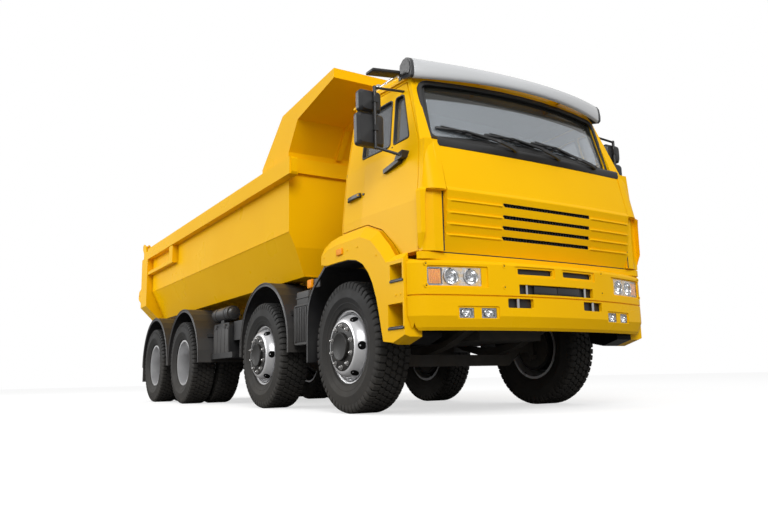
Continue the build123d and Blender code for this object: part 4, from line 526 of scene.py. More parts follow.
def steered_hub():
    """Adaptor plate with a bevelled edge, flat cap, and the brake drum and hub barrel behind the disc."""
    plate = lathe([(0.0, -0.184), (0.188, -0.184), (0.1965, -0.1815), (0.2015, -0.176), (0.2015, -0.164),
                   (0.1900, -0.163)], 84)
    cap = lathe([(0.0, -0.2060), (0.1000, -0.2060), (0.1050, -0.2085), (0.1110, -0.2080), (0.1145, -0.2040),
                 (0.1155, -0.1980), (0.1160, -0.1840)], 72)
    drum = lathe([(0.0, -0.155), (0.190, -0.155), (0.205, -0.100), (0.216, -0.088), (0.216, 0.098),
                  (0.205, 0.100), (0.075, 0.098), (0.075, 0.060), (0.046, 0.060)], 60)
    return stacked([plate, cap, drum])


def driven_hub():
    """Planetary hub: stepped drum with a flat cover and its cover bolts."""
    drum = lathe([(0.0, -0.171), (0.088, -0.171), (0.101, -0.166), (0.1215, -0.152), (0.1225, -0.060),
                  (0.150, -0.056), (0.194, -0.050), (0.1965, -0.044), (0.1965, -0.020), (0.190, -0.0135)], 60)
    return stacked([drum, ring_of(turned_to(hex_head(0.013, 0.008), "-y"), 0.075, 10, -0.171)])


def wheel_nut():
    """Flanged wheel nut with its rounded stud end."""
    stud = lathe([(0.0, -0.026), (0.006, -0.0255), (0.0095, -0.023), (0.0105, -0.018), (0.0105, -0.010)], 16)
    return stacked([turned_to(hex_head(0.027, 0.017), "-y"), stud])


# Near-black finish of the hand-hole discs: painted shade, as the disc itself has no holes.
hole_shade_black = finish("hole_shade_black", (0.003, 0.003, 0.003), (0.005, 0.005, 0.005), 0.85, 0.95, grain=200,
                       Specular_IOR_Level=0.05)
sides = (("right", lambda shape: shape), ("left", across))
for number in "1234":
    steered = number in "12"
    hub, seat = (steered_hub(), 0.1838) if steered else (driven_hub(), 0.050)
    middle, disc_inside, drum_radius = (1.02, 1.105, 0.2225) if steered else (1.095 - 0.345 / 2, 0.914, 0.212)
    spot = (axle_places[number], -middle, wheel_height)
    parts = [("hub", hub, hub_black, "frame_black", 32),
             ("nuts", ring_of(wheel_nut(), 0.1675, 10, -seat, 0.3), nut_steel, "rim_silver", 32)]
    if steered:
        parts = [("disc", steered_disc(), wheel_silver, "rim_silver", 40),
                 ("hand_holes", hand_hole_shade_discs(), hole_shade_black, "frame_black", 35), *parts]

    def castings(x, y, z, normals, number=number, inside=disc_inside, radius=drum_radius):
        """1 for the faces of the hub and drum, by their distance from the wheel's line and from the disc."""
        away = np.hypot(x - axle_places[number], z - wheel_height)
        return (away < radius) & (np.abs(y) < inside) | (away < 0.19)

    for side, placed in sides:
        if not steered:
            dress_faces(f"rims_{number}_{side}", (wheel_silver, hub_black), castings)
        for part_name, shape, material, slot, crease in parts:
            made = piece(f"{part_name}_{number}_{side}", placed(moved(shape, spot)), material,
                         f"wheel_{number}_{side}", crease=crease)
            if part_name == "disc":
                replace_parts(made, f"rim_{number}_{side}")


# ---------------------------------------------------------------- painted body
# Cab, bumper, fenders and tipping body are pressed and welded steel in gloss yellow.
# Inside, the cab has grey trim.
cab_grey = finish("cab_grey", (0.16, 0.16, 0.155), (0.19, 0.19, 0.185), 0.55, 0.7, grain=600,
                  grain_depth=0.0003)
yellow_paint = finish("yellow_paint", (0.93, 0.515, 0.0015), (0.905, 0.485, 0.0015), 0.26, 0.34, dust=0.035,
                      dust_height=0.9, dust_tone=(0.50, 0.34, 0.12), mottle=1.1, grain=420,
                      grain_depth=0.00008, Specular_IOR_Level=0.05)
black_plastic = finish("black_plastic", (0.014, 0.014, 0.015), (0.024, 0.024, 0.024), 0.38, 0.52, grain=500,
                       grain_depth=0.0003)
rubber_trim = finish("rubber_trim", (0.010, 0.010, 0.010), (0.016, 0.016, 0.016), 0.45, 0.6, grain=300,
                     grain_depth=0.0003)


def side_half(x, z):
    """Half width of the cab's outer skin at a place in side view, x from the first axle."""
    wall = np.interp(z, (1.16, 1.54, 1.98, 2.592), (1.2, 1.2, 1.152, 1.045))
    return wall - 0.0714 * np.maximum(np.asarray(x) - 0.35, 0)


glass_foot_x, glass_foot_z, glass_lean, glass_bow = 1.150, 1.98, 0.2705, 3.43


def glass_x(y, z):
    """Windshield's plane: it leans back from its foot by glass_lean and bows on the radius glass_bow."""
    return glass_foot_x - glass_lean * (z - glass_foot_z) - y ** 2 / (2 * glass_bow)


def cabin_side(x, y, z, normals):
    """1 for faces inside the cab: in from its skin by most of the wall, and turned toward its middle."""
    wall = 0.045
    x = x - front_axle
    inward = ((np.array([0.50, 0.0, 1.95]) - np.stack([x, y, z], -1)) * normals).sum(1) > 0
    front = np.where(z > glass_foot_z, glass_x(y, np.maximum(z, glass_foot_z)) - wall, 1.045)
    return inward & (np.abs(y) < side_half(x, z) - wall) & (x < front) & (x > 0.03) & (z < 2.715) & (z > 1.2)


for name in ("cab_shell", "door_right", "door_left"):
    dress_faces(name, (yellow_paint, cab_grey), cabin_side)
dress(yellow_paint, "front_panel", "bumper", "fenders", "bed_floor", "bed_sides", "bed_front",
      "bed_rear_frame", "tailgate")
dress(black_plastic, "mirrors_right", "mirrors_left", "side_equipment", "rear_bumper", "lamp_housings",
      "dashboard")
dress(rubber_trim, "windshield_trim")


# ---------------------------------------------------------------- windshield, visor and wipers
# Bowed laminated glass, set in a black rubber seal; its pale grey is partly tint and partly a painted
# reflection of the room, and it is darker in a band along its head.
# The silver-grey visor is a bowed blade between dark ends; three long wipers park on a black cowl.
def overlaid(tree, share, colour, **settings):
    """Mix a colour over the shader's base colour by a share."""
    base = tree.nodes["Principled BSDF"].inputs["Base Color"]
    mix = wired(tree, "Mix", {"Factor": share, "A": base.links[0].from_socket, "B": colour}, data_type="RGBA",
                **settings)
    tree.links.new(mix.outputs["Result"], base)


def glass_finish(name, tint, band=None, clearness=0.80):
    """Tinted glass that lets light through to the cab; between two heights its colour darkens to a dark band
    that runs on to the top.
    """
    material = finish(name, tint, tuple(0.96 * part for part in tint), 0.0, 0.03, mottle=0.8,
                      grain_depth=0.00001, Transmission_Weight=clearness, IOR=1.6, Specular_IOR_Level=1.0)
    tree = material.node_tree
    if band:
        parts = wired(tree, "SeparateXYZ", {0: wired(tree, "TexCoord").outputs["Object"]})
        rise = wired(tree, "MapRange", {"From Min": band[0], "From Max": band[1],
                                        "Value": parts.outputs["Z"]})
        overlaid(tree, rise.outputs[0], (0.075, 0.075, 0.065, 1))
    clear = wired(tree, "BsdfTransparent", {"Color": (0.72, 0.76, 0.78, 1)})
    shadow = wired(tree, "LightPath").outputs["Is Shadow Ray"]
    shader = tree.nodes["Principled BSDF"]
    mixed = wired(tree, "MixShader", {"Fac": shadow, 1: shader.outputs[0], 2: clear.outputs[0]})
    tree.links.new(mixed.outputs[0], tree.nodes["Material Output"].inputs["Surface"])
    return material


# The windshield's grey is partly tint and partly painted reflection: a fifth of the glass is diffuse pale
# grey standing in for the room's reflection. Above about 2.41 m its colour is only darker.
dress(glass_finish("windshield_glass", (0.62, 0.66, 0.70), band=(2.402, 2.412)), "cab_glass")
dress(glass_finish("door_window_glass", (0.34, 0.36, 0.38)), "door_glass_right", "door_glass_left")


visor_gloss = finish("visor_gloss", (0.56, 0.57, 0.58), (0.62, 0.63, 0.64), 0.12, 0.20, mottle=0.7,
                     grain_depth=0.00005, Coat_Weight=0.4, Metallic=0.15)
visor_end = finish("visor_end", (0.03, 0.03, 0.032), (0.045, 0.045, 0.047), 0.3, 0.4, grain=400,
                   grain_depth=0.0002)


def from_axle(x, y, z):
    """Points with x counted from the first axle; a single number is repeated to match the others."""
    return np.stack(np.broadcast_arrays(front_axle + x, y, z), -1)


def boxed(low, high, radius, steps=4):
    """Rounded box between two corners whose x is counted from the first axle."""
    return moved(soft_box(low, high, radius, steps), (front_axle, 0, 0))


def prism(outline, low, high):
    """Straight prism along y of an (x, z) outline from the first axle, closed to its middle at each end."""
    outline = np.asarray(outline, float)
    ring = from_axle(outline[:, 0], 0, outline[:, 1])
    middle = np.broadcast_to(ring.mean(0), ring.shape)
    rows = [middle + (0, low, 0), ring + (0, low, 0), ring + (0, high, 0), middle + (0, high, 0)]
    return grid(np.stack(rows), wrap_columns=True)


def capped(points):
    """Strip whose section runs round the rows, with each end closed to the middle of its ring."""
    rings = [points[:, end] for end in (0, -1)]
    caps = [grid(np.stack([ring, np.broadcast_to(ring.mean(0), ring.shape)]), wrap_columns=True)
            for ring in rings]
    return stacked([grid(points, wrap_rows=True), *caps])


def visor_blade():
    """Profile swept across on a 2.57 m bow; it grows taller toward the ends by the square of y."""
    y = np.linspace(-1.03, 1.03, 97)
    outer = [(1.082, 2.558), (1.099, 2.562), (1.107, 2.574), (1.110, 2.600), (1.108, 2.630), (1.099, 2.655),
             (1.082, 2.672), (1.055, 2.683), (1.020, 2.688)]
    inner = [(1.020, 2.678), (1.050, 2.673), (1.074, 2.663), (1.089, 2.648), (1.098, 2.627), (1.099, 2.600),
             (1.096, 2.580), (1.086, 2.570)]
    profile = np.array(outer + inner)
    rise = 1 + 0.42 * (y / 1.03) ** 2
    x = profile[:, :1] - y ** 2 / 5.14
    z = 2.558 + (profile[:, 1:] - 2.558) * rise
    return capped(from_axle(x, y, z))


visor = piece("visor_blade", visor_blade(), visor_gloss, "chassis", crease=50)
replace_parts(visor, "sun_visor")
end_outline = [(0.878, 2.560), (0.900, 2.575), (0.903, 2.620), (0.893, 2.688), (0.872, 2.722), (0.835, 2.738),
               (0.790, 2.735), (0.745, 2.705), (0.735, 2.640), (0.770, 2.585)]
right_end = prism(end_outline, -1.058, -1.031)
step = prism([(0.880, 2.600), (0.889, 2.640), (0.878, 2.690), (0.850, 2.715), (0.800, 2.705), (0.770, 2.660),
              (0.790, 2.610)], -1.064, -1.056)
piece("visor_ends", both_sides(right_end, step), visor_end, "chassis")
bracket = prism([(0.862, 2.606), (0.930, 2.596), (1.040, 2.600), (1.062, 2.612), (1.058, 2.655),
                 (1.030, 2.668), (0.900, 2.715), (0.856, 2.700)], -0.452, -0.424)
piece("visor_brackets", both_sides(bracket), yellow_paint, "chassis")


def bar(path, width, height, out, closed=False):
    """Flat bar along a path: a chamfered section, width across the way out, height along it. Square ends."""
    path, out = np.asarray(path, float), np.asarray(out, float)
    if closed:
        along = np.roll(path, -1, 0) - np.roll(path, 1, 0)
    else:
        along = np.gradient(path, axis=0)
    along /= np.linalg.norm(along, axis=1, keepdims=True)
    side = np.cross(along, out)
    side /= np.linalg.norm(side, axis=1, keepdims=True)
    up = np.cross(side, along)
    cut = np.array([(-1, 0), (-1, 0.7), (-0.7, 1), (0.7, 1), (1, 0.7), (1, 0)])
    half = np.broadcast_to(width, len(path)).reshape(-1, 1, 1) / 2
    tall = np.broadcast_to(height, len(path)).reshape(-1, 1, 1)
    points = path[:, None] + side[:, None] * cut[:, :1] * half + up[:, None] * cut[:, 1:] * tall
    if closed:
        return grid(points, wrap_rows=True, wrap_columns=True)
    ends = points.mean(1, keepdims=True).repeat(6, 1)
    return grid(np.concatenate([ends[:1], points, ends[-1:]]), wrap_columns=True)


def glass_place(y, z, off):
    """Points held off the windshield's outer face."""
    return from_axle(glass_x(y, z) - 0.024 + off, y, z)


def facing_front(shape, place):
    """A shape drawn about the y line, its +y end turned to the front and moved to a place."""
    points, faces = shape
    return points[:, (1, 0, 2)] + place, faces


def wiper(pivot_y, root_y, tip_y, tip_z):
    """Pivot cap, cranked tapering arm, then a blade of lip, spine, upper strip, main bridge and two claws."""
    y = np.linspace(root_y, tip_y, 33)
    middle = (root_y + tip_y) / 2
    away = (y - middle) / (abs(tip_y - root_y) / 2)
    level = np.linspace(2.090, tip_z, 33)

    def strip(low, high, rise, off, width, height):
        """Bar along part of the blade's line, raised on the glass and held off it."""
        return bar(glass_place(y[low:high], level[low:high] + rise, off), width, height, (1, 0, 0.27))

    blade = [strip(0, 33, 0, 0.001, 0.006, 0.010), strip(0, 33, 0, 0.010, 0.018, 0.005),
             strip(3, 30, 0.020, 0.014, 0.007, 0.006),
             strip(6, 27, 0.002, 0.018 + 0.022 * (1 - (away[6:27] / away[26]) ** 2), 0.014, 0.009)]
    for low, high in ((0, 13), (20, 33)):
        part = away[low:high]
        lift = 1 - ((part - part.mean()) / (part.max() - part.mean())) ** 2
        blade.append(strip(low, high, 0, 0.012 + 0.013 * lift, 0.018, 0.006))
    hub = (front_axle + 1.168 - pivot_y ** 2 / 11, pivot_y, 2.010)
    crank = np.array([hub, (hub[0] + 0.010, pivot_y + (root_y - pivot_y) * 0.25, 2.022),
                      (hub[0] + 0.004, pivot_y + (root_y - pivot_y) * 0.75, 2.050),
                      (hub[0] - 0.006 - root_y ** 2 / 14, root_y + 0.04, 2.066)])
    joint = glass_place(np.array([middle]), level[16:17] + 0.004, 0.042)[0]
    arm_path = np.concatenate([crank, crank[-1] + (joint - crank[-1]) * np.linspace(0.08, 1, 8)[:, None]])
    arm = bar(arm_path, np.linspace(0.034, 0.014, len(arm_path)), 0.012, (1, 0, 0.2))
    lower = bar(arm_path[3:] - (0.004, 0, 0.022), 0.008, 0.006, (1, 0, 0.2))
    cap = lathe([(0, 0.016), (0.015, 0.016), (0.019, 0.011), (0.020, -0.012), (0.020, -0.030)], 24)
    clip = soft_box(joint - (0.016, 0.022, 0.009), joint + (0.008, 0.022, 0.011), 0.004)
    return stacked([*blade, arm, lower, facing_front(cap, hub), clip])


wiper_black = finish("wiper_black", (0.012, 0.012, 0.013), (0.02, 0.02, 0.02), 0.35, 0.5, grain=300,
                     grain_depth=0.0002)
blades = piece("wipers_detailed", stacked([wiper(-0.270, -0.470, -0.900, 2.150),
                                           wiper(0.195, -0.015, -0.490, 2.132),
                                           wiper(0.660, 0.440, -0.035, 2.128)]), wiper_black, "chassis")
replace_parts(blades, "wipers")


panel_bow = 16.7


def cowl_cover():
    """Sheet over the width from the panel's top edge up, over and back to the glass, clear of the cowl."""
    y = np.linspace(-0.982, 0.982, 121)
    cowl = 1.160 - y ** 2 / 11
    face = 1.1045 + 0.006 * np.log1p(np.exp((cowl - 1.1045) / 0.006))
    low = np.minimum(1.133 - y ** 2 / (2 * panel_bow), face)
    rear = glass_x(y, 2.048) + 0.004
    rows = [(low - 0.012, 1.9585), (low, 1.9585), (low + 0.0015, 1.963), (face, 1.988), (face, 2.008),
            (face - 0.008, 2.020), (face - 0.018, 2.0290), (rear + 0.45 * (face - rear - 0.018), 2.042),
            (rear, 2.050), (rear - 0.012, 2.046), (face - 0.036, 2.018), (face - 0.012, 2.000),
            (low - 0.012, 1.970)]
    return capped(np.stack([from_axle(x, y, z) for x, z in rows]))


piece("cowl_cover", cowl_cover(), black_plastic, "chassis", crease=50)


def rounded_loop(corners, radius, steps=8):
    """Points round a polygon of (u, v) corners, each corner a quarter-like arc by quadratic blend."""
    corners = np.asarray(corners, float)
    share, straight = np.linspace(0, 1, steps)[:, None], np.linspace(0, 1, 9)[1:-1, None]
    points = []
    for here, back, on in zip(corners, np.roll(corners, 1, 0), np.roll(corners, -1, 0)):
        onward = (on - here) / np.linalg.norm(on - here) * radius
        start, end = here + (back - here) / np.linalg.norm(back - here) * radius, here + onward
        points.append((1 - share) ** 2 * start + 2 * share * (1 - share) * here + share ** 2 * end)
        points.append(end + (on - onward - end) * straight)
    return np.concatenate(points)


seal_line = rounded_loop([(-0.988, 2.036), (0.988, 2.036), (0.965, 2.543), (-0.965, 2.543)], 0.085)
seal_y, seal_z = seal_line.T
seal_out = np.stack(np.broadcast_arrays(1.0, seal_y / glass_bow, glass_lean), -1)
piece("windshield_rubber", bar(glass_place(seal_y, seal_z, 0.014), 0.040, 0.017, seal_out, closed=True),
      rubber_trim, "chassis")


# ---------------------------------------------------------------- seats
# Two sprung seats: foam cushion and back in woven cloth with vinyl sides, on rubber bellows and a steel pan.
# The foam's swell is a cloth simulation of the sewn cover under pressure; seams are pressed in afterwards.
def sewn_cover(low, high, edge, lean, taper):
    """Rounded block whose x shifts by lean and whose width narrows by taper from its foot to its head."""
    points, faces = soft_box(low, high, edge, 6)
    share = (points[:, 2] - low[2]) / (high[2] - low[2])
    middle = (low[1] + high[1]) / 2
    width = 1 - taper * np.clip(share, 0, 1) ** 2.2
    return np.stack([points[:, 0] + lean * share, middle + (points[:, 1] - middle) * width, points[:, 2]],
                    -1), faces


def stuffed(cover, travel):
    """The cover remeshed and blown out for twenty steps, each point moved by travel at most."""
    scene = bpy.context.scene

    def shape_of(made):
        """Points and quads of an object as its modifiers leave it."""
        mesh = made.evaluated_get(bpy.context.evaluated_depsgraph_get()).to_mesh()
        points = np.empty(len(mesh.vertices) * 3)
        corners = np.empty(len(mesh.loops), dtype=int)
        mesh.vertices.foreach_get("co", points)
        mesh.loops.foreach_get("vertex_index", corners)
        return points.reshape(-1, 3), [corners.reshape(-1, 4)]

    sewn = bare_object("sewn", *cover)
    merge_shell(sewn.data)
    remesh = sewn.modifiers.new("remesh", "REMESH")
    remesh.mode = "VOXEL"
    remesh.voxel_size = 0.006
    start, faces = shape_of(sewn)
    foam = bare_object("foam", start, faces)
    cloth = foam.modifiers.new("foam_pressure", "CLOTH")
    cloth.settings.use_pressure = True
    cloth.settings.uniform_pressure_force = 4
    cloth.settings.effector_weights.gravity = 0
    for step in range(1, 21):
        scene.frame_set(step)
    swollen, _ = shape_of(foam)
    scene.frame_set(1)
    bpy.data.objects.remove(foam)
    bpy.data.objects.remove(sewn)
    moved = swollen - start
    length = np.linalg.norm(moved, axis=1, keepdims=True)
    return start + moved * np.minimum(1, travel / np.maximum(length, 1e-9)), faces


def pressed(points, centre, lines):
    """Seams: each (axis, place, depth) line draws nearby points to the pad's centre on a bell curve."""
    toward = centre - points
    toward /= np.linalg.norm(toward, axis=1, keepdims=True)
    depth = sum(size * np.exp(-((points[:, axis] - place) / 0.006) ** 2) for axis, place, size in lines)
    return points + toward * depth[:, None]


def woven_cloth(name, tone, second):
    """Seat cloth: the weathered colours under two crossed thread waves that tint and raise it."""
    material = finish(name, tone, second, 0.85, 0.95, mottle=9, grain=500, grain_depth=0.0002)
    tree = material.node_tree
    place = wired(tree, "TexCoord").outputs["Object"]
    threads = [wired(tree, "TexWave", {"Scale": 125, "Distortion": 0.4, "Vector": place},
                     bands_direction=direction) for direction in ("Y", "Z")]
    crossed = wired(tree, "Math", {k: thread.outputs["Fac"] for k, thread in enumerate(threads)},
                    operation="MAXIMUM")
    overlaid(tree, 0.45, crossed.outputs[0], blend_type="MULTIPLY")
    normal = tree.nodes["Principled BSDF"].inputs["Normal"]
    raised = wired(tree, "Bump", {"Distance": 0.0006, "Height": crossed.outputs[0],
                                  "Normal": normal.links[0].from_socket})
    tree.links.new(raised.outputs["Normal"], normal)
    return material


seat_cloth = woven_cloth("seat_cloth", (0.050, 0.052, 0.058), (0.062, 0.064, 0.070))
seat_vinyl = finish("seat_vinyl", (0.018, 0.018, 0.019), (0.024, 0.024, 0.025), 0.48, 0.60, grain=900,
                    grain_depth=0.0005)
cushion = stuffed(sewn_cover((front_axle + 0.210, -0.830, 1.578), (front_axle + 0.626, -0.400, 1.672),
                             0.034, 0.0, 0.0), 0.022)
cushion_points = pressed(cushion[0], np.array([front_axle + 0.418, -0.615, 1.625]),
                         [(1, -0.755, 0.007), (1, -0.475, 0.007), (0, front_axle + 0.540, 0.006),
                          (2, 1.640, 0.004)])
cushion_points[:, 2] = np.maximum(cushion_points[:, 2], 1.562)
back = stuffed(sewn_cover((front_axle + 0.132, -0.815, 1.716), (front_axle + 0.206, -0.415, 2.232),
                          0.030, -0.052, 0.20), 0.022)
back_points = pressed(back[0], np.array([front_axle + 0.150, -0.615, 1.960]),
                      [(1, -0.735, 0.007), (1, -0.495, 0.007), (2, 1.840, 0.006), (2, 1.960, 0.006),
                       (2, 2.080, 0.008)])
bellows = [(0.0, 1.356), (0.120, 1.356)]
for z in 1.362 + np.arange(5) * 0.036:
    bellows += [(0.122, z), (0.136, z + 0.012), (0.136, z + 0.020), (0.122, z + 0.032)]
bellows += [(0.120, 1.548), (0.0, 1.548)]
turn = np.linspace(0, 2 * np.pi, 48, endpoint=False)
square = (np.abs(np.cos(turn)) ** 6 + np.abs(np.sin(turn)) ** 6) ** (-1 / 6)
ring = np.stack([np.cos(turn) * square, np.sin(turn) * square, 0 * turn], -1)
levels = np.array([[(front_axle + 0.41, -0.615, z)] for _, z in bellows])
skirt = np.array(bellows)[:, :1, None] * ring + levels
hinges = [boxed((0.138, y - 0.012, 1.592), (0.226, y + 0.012, 1.770), 0.006, 3) for y in (-0.838, -0.392)]
pan = boxed((0.215, -0.800, 1.546), (0.610, -0.430, 1.561), 0.005, 3)
seat_steel = finish("seat_steel", (0.025, 0.025, 0.026), (0.035, 0.035, 0.036), 0.4, 0.5, grain=400,
                    grain_depth=0.0003)
for side, turned in sides:
    for part_name, shape, low, high in (("cushion", (cushion_points, cushion[1]), -0.755, -0.475),
                                        ("back", (back_points, back[1]), -0.735, -0.495)):
        pad = piece(f"seat_{part_name}_{side}", turned(shape), seat_cloth, "chassis", crease=60)
        pad.data.materials.append(seat_vinyl)
        middles = np.empty(len(pad.data.polygons) * 3)
        pad.data.polygons.foreach_get("center", middles)
        breadth = -np.abs(middles.reshape(-1, 3)[:, 1])
        pad.data.polygons.foreach_set("material_index", ((breadth < low) | (breadth > high)).astype(np.int32))
        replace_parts(pad, "seats")
    for part_name, shape, material, slot in (("bellows", grid(skirt, wrap_columns=True), rubber_trim,
                                              "trim_black"), ("frame", stacked([pan, *hinges]), seat_steel,
                                                              "frame_black")):
        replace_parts(piece(f"seat_{part_name}_{side}", turned(shape), material, "chassis"), "seats")


# ---------------------------------------------------------------- louvres and bumper fittings
# Behind the panel's four air slots are black ducts; behind the bumper's slots a black backing sheet.
# Two bright rods cross its middle opening and an upright tow pin stands in each of the lower slots.
slots = ((1.180, 1.287), (1.194, 1.365), (1.206, 1.446), (1.214, 1.535))
ducts = []
for x, z in slots:
    front, back, low, high = x - 0.0085, x - 0.0375, z - 0.0118, z + 0.0178
    for corners in (((back, -0.459, low), (front, 0.459, z - 0.0100)),
                    ((back, -0.459, z + 0.0160), (front, 0.459, high)),
                    ((back, -0.459, low), (back + 0.002, 0.459, high)),
                    ((back, -0.4598, low), (front, -0.4580, high)),
                    ((back, 0.4580, low), (front, 0.4598, high))):
        ducts.append(boxed(*corners, 0.0004, 1))
    rib = boxed((back, -0.002, z - 0.0110), (front - 0.010, 0.002, z + 0.0170), 0.0008, 1)
    ducts.append(copies(rib, [(0, y, 0) for y in np.linspace(-0.42, 0.42, 29)]))
piece("air_slot_ducts", stacked(ducts), black_plastic, "chassis")


def louvre_lip(x, z):
    """Drip edge outboard of a slot on the panel's 16.7 m bow, 7 mm proud and 16 mm tall."""
    y = np.linspace(-0.950, -0.472, 31)
    section = [(-0.004, -0.0125), (0.0045, -0.0120), (0.0065, -0.0085), (0.0060, -0.0045), (0.0020, 0.0030),
               (-0.004, 0.0040)]
    bow = y ** 2 / (2 * panel_bow)
    fade = np.clip(np.minimum(0.950 - np.abs(y), np.abs(y) - 0.472) / 0.012, 0.05, 1)
    rows = [from_axle(x - bow + (dx if dx < 0 else dx * fade), y, z - 0.001 + dz) for dx, dz in section]
    return grid(np.stack(rows), wrap_rows=True)


piece("louvre_lips", both_sides(*[louvre_lip(x, z) for x, z in slots]), yellow_paint, "chassis",
      crease=60)


def foot_strip():
    """Strip that closes the cab's foot above the bumper: the panel's bow, then round both corners."""
    bow_y = np.linspace(-0.985, 0.985, 41)
    bow = np.stack([1.134 - bow_y ** 2 / (2 * panel_bow), bow_y], -1)
    corner = np.array([(1.060, -1.168), (1.082, -1.160), (1.098, -1.140), (1.108, -1.105), (1.110, -1.060),
                       (1.108, -1.015)])
    plan = np.concatenate([corner, bow, corner[::-1] * (1, -1)])
    rows = [(0.0, 1.1006), (0.004, 1.103), (0.004, 1.150), (0.0, 1.154), (-0.012, 1.154), (-0.012, 1.1006)]
    out = beside(plan)
    return grid(np.stack([from_axle(*(plan + out * push).T, z) for push, z in rows]), wrap_rows=True)


piece("cab_foot_strip", foot_strip(), yellow_paint, "chassis")


seam_y = np.linspace(-0.970, 0.970, 41)
panel_foot_seam = bar(from_axle(1.1335 - seam_y ** 2 / (2 * panel_bow), seam_y, 1.157), 0.0075, 0.004,
                      (1, 0, 0))
corner_z = np.linspace(1.163, 1.604, 9)
corner_seam = bar(from_axle(1.1352, -0.9815, corner_z), 0.011, 0.0018, (1, 0, 0))
piece("panel_seams", stacked([panel_foot_seam, corner_seam, across(corner_seam)]), rubber_trim, "chassis")


def nose(y, inset):
    """Place across the bumper's long bow, drawn in by inset."""
    return front_axle + 1.269 - inset - np.asarray(y) ** 2 / 7.68


def bowed_sheet(half, z, inset, thick):
    """Upright sheet that follows the bumper's bow between two heights."""
    y = np.linspace(-half, half, 41)
    rows = [(z[0], inset), (z[1], inset), (z[1], inset + thick), (z[0], inset + thick)]
    points = [np.stack(np.broadcast_arrays(nose(y, back), y, height), -1) for height, back in rows]
    return grid(np.stack(points), wrap_rows=True)


piece("bumper_backing", bowed_sheet(0.530, (0.722, 1.068), 0.0335, 0.003), black_plastic, "chassis")
bright_steel = finish("bright_steel", (0.62, 0.62, 0.63), (0.56, 0.56, 0.57), 0.12, 0.22, Metallic=1.0,
                      grain=300, grain_depth=0.0001)
pin = tube([(0, 0, z) for z in (0.7625, 0.7635, 0.8295, 0.8305)], [0.012, 0.0135, 0.0135, 0.012], 20,
           (1, 0, 0))
tall_pin = tube([(0, 0, z) for z in (0.8655, 0.8665, 0.9355, 0.9365)], [0.010, 0.0115, 0.0115, 0.010], 20,
                (1, 0, 0))
pins = [copies(pin, [(nose(y, 0.020), y, 0) for y in (-0.395, 0.395)]),
        copies(tall_pin, [(nose(y, 0.022), y, 0) for y in (-0.308, 0.308)])]
piece("tow_pins", stacked(pins), bright_steel, "chassis")
gloss_black = finish("gloss_black", (0.020, 0.020, 0.022), (0.026, 0.026, 0.028), 0.08, 0.16,
                     grain_depth=0.0001)
hatches = [soft_box((nose(y, 0.032), y - 0.118, 0.868), (nose(y, 0.020), y + 0.118, 0.934), 0.003, 3)
           for y in (-0.121, 0.121)]
piece("tow_hatches", stacked(hatches), gloss_black, "chassis")
screw = turned_to(hex_head(0.013, 0.006), "+x")
cup = lathe([(0.0, 0.0008), (0.0105, 0.0008), (0.0130, 0.0022), (0.0160, 0.0026), (0.0185, 0.0010),
             (0.0190, -0.004)], 24)
cup = facing_front(cup, (0, 0, 0))
dimples = [(y, z) for y in (-0.515, 0.515, -1.125, 1.125) for z in (1.068, 0.912)]
places = [(nose(y, 0.0002 if abs(y) < 1 else 0.0015), y, z) for y, z in dimples]
piece("bumper_screws", copies((screw[0] * (0.6, 0.7, 0.7), screw[1]), places), black_plastic, "chassis")
piece("bumper_screw_cups", copies(cup, places), yellow_paint, "chassis")


# ---------------------------------------------------------------- lamps
# Headlamps have two bright bowls with a bulb each behind a clear cover, and an amber turn signal outboard.
# Fog lamps have one bowl per cover; small amber repeaters sit on the fenders.
clear_lens = glass_finish("clear_lens", (0.94, 0.95, 0.96), clearness=0.97)
mirror_chrome = finish("mirror_chrome", (0.80, 0.80, 0.81), (0.76, 0.76, 0.77), 0.05, 0.09, Metallic=1.0,
                       grain_depth=0.00002)
amber_lens = finish("amber_lens", (0.88, 0.27, 0.002), (0.95, 0.36, 0.004), 0.30, 0.42, mottle=60, grain=150,
                    grain_depth=0.0006, Specular_IOR_Level=0.12)
lamp_grey = finish("lamp_grey", (0.30, 0.30, 0.31), (0.34, 0.34, 0.35), 0.15, 0.25, grain=300,
                   grain_depth=0.0002, Metallic=0.6)
dress(clear_lens, "lamps")
reflector_silver = finish("reflector_silver", (0.62, 0.60, 0.60), (0.80, 0.52, 0.16), 0.12, 0.22, mottle=28,
                          grain_depth=0.00005, Metallic=0.75)
dress_faces("lamp_housings", (lamp_grey, reflector_silver),
            lambda x, y, z, normals: (z > 0.87) & (np.abs(y) > 0.70) & (np.abs(y) < 1.0))
bowl = lathe([(0.0635, -0.021), (0.0630, -0.0180), (0.0600, -0.0165), (0.0540, -0.0170), (0.0500, -0.022),
              (0.0470, -0.034), (0.0380, -0.047), (0.0240, -0.056), (0.0120, -0.059), (0.0, -0.0595)], 48)
bulb = lathe([(0.0, -0.026), (0.007, -0.0265), (0.0115, -0.030), (0.0125, -0.036), (0.0105, -0.044),
              (0.0090, -0.058)], 24)
headlamps = [(nose(y, 0), y, 0.98) for y in (-0.779, -0.931, 0.779, 0.931)]
bowls = [facing_front(bowl, place) for place in headlamps]
small = (bowl[0] * (0.62, 0.72, 0.50), bowl[1])
fogs = [facing_front(small, (nose(y, 0), y, 0.722)) for y in (-0.651, -0.829, 0.651, 0.829)]
piece("lamp_bowls", stacked(bowls + fogs), mirror_chrome, "chassis")
bulbs = [facing_front(bulb, place) for place in headlamps]
piece("lamp_bulbs", stacked(bulbs), lamp_grey, "chassis")


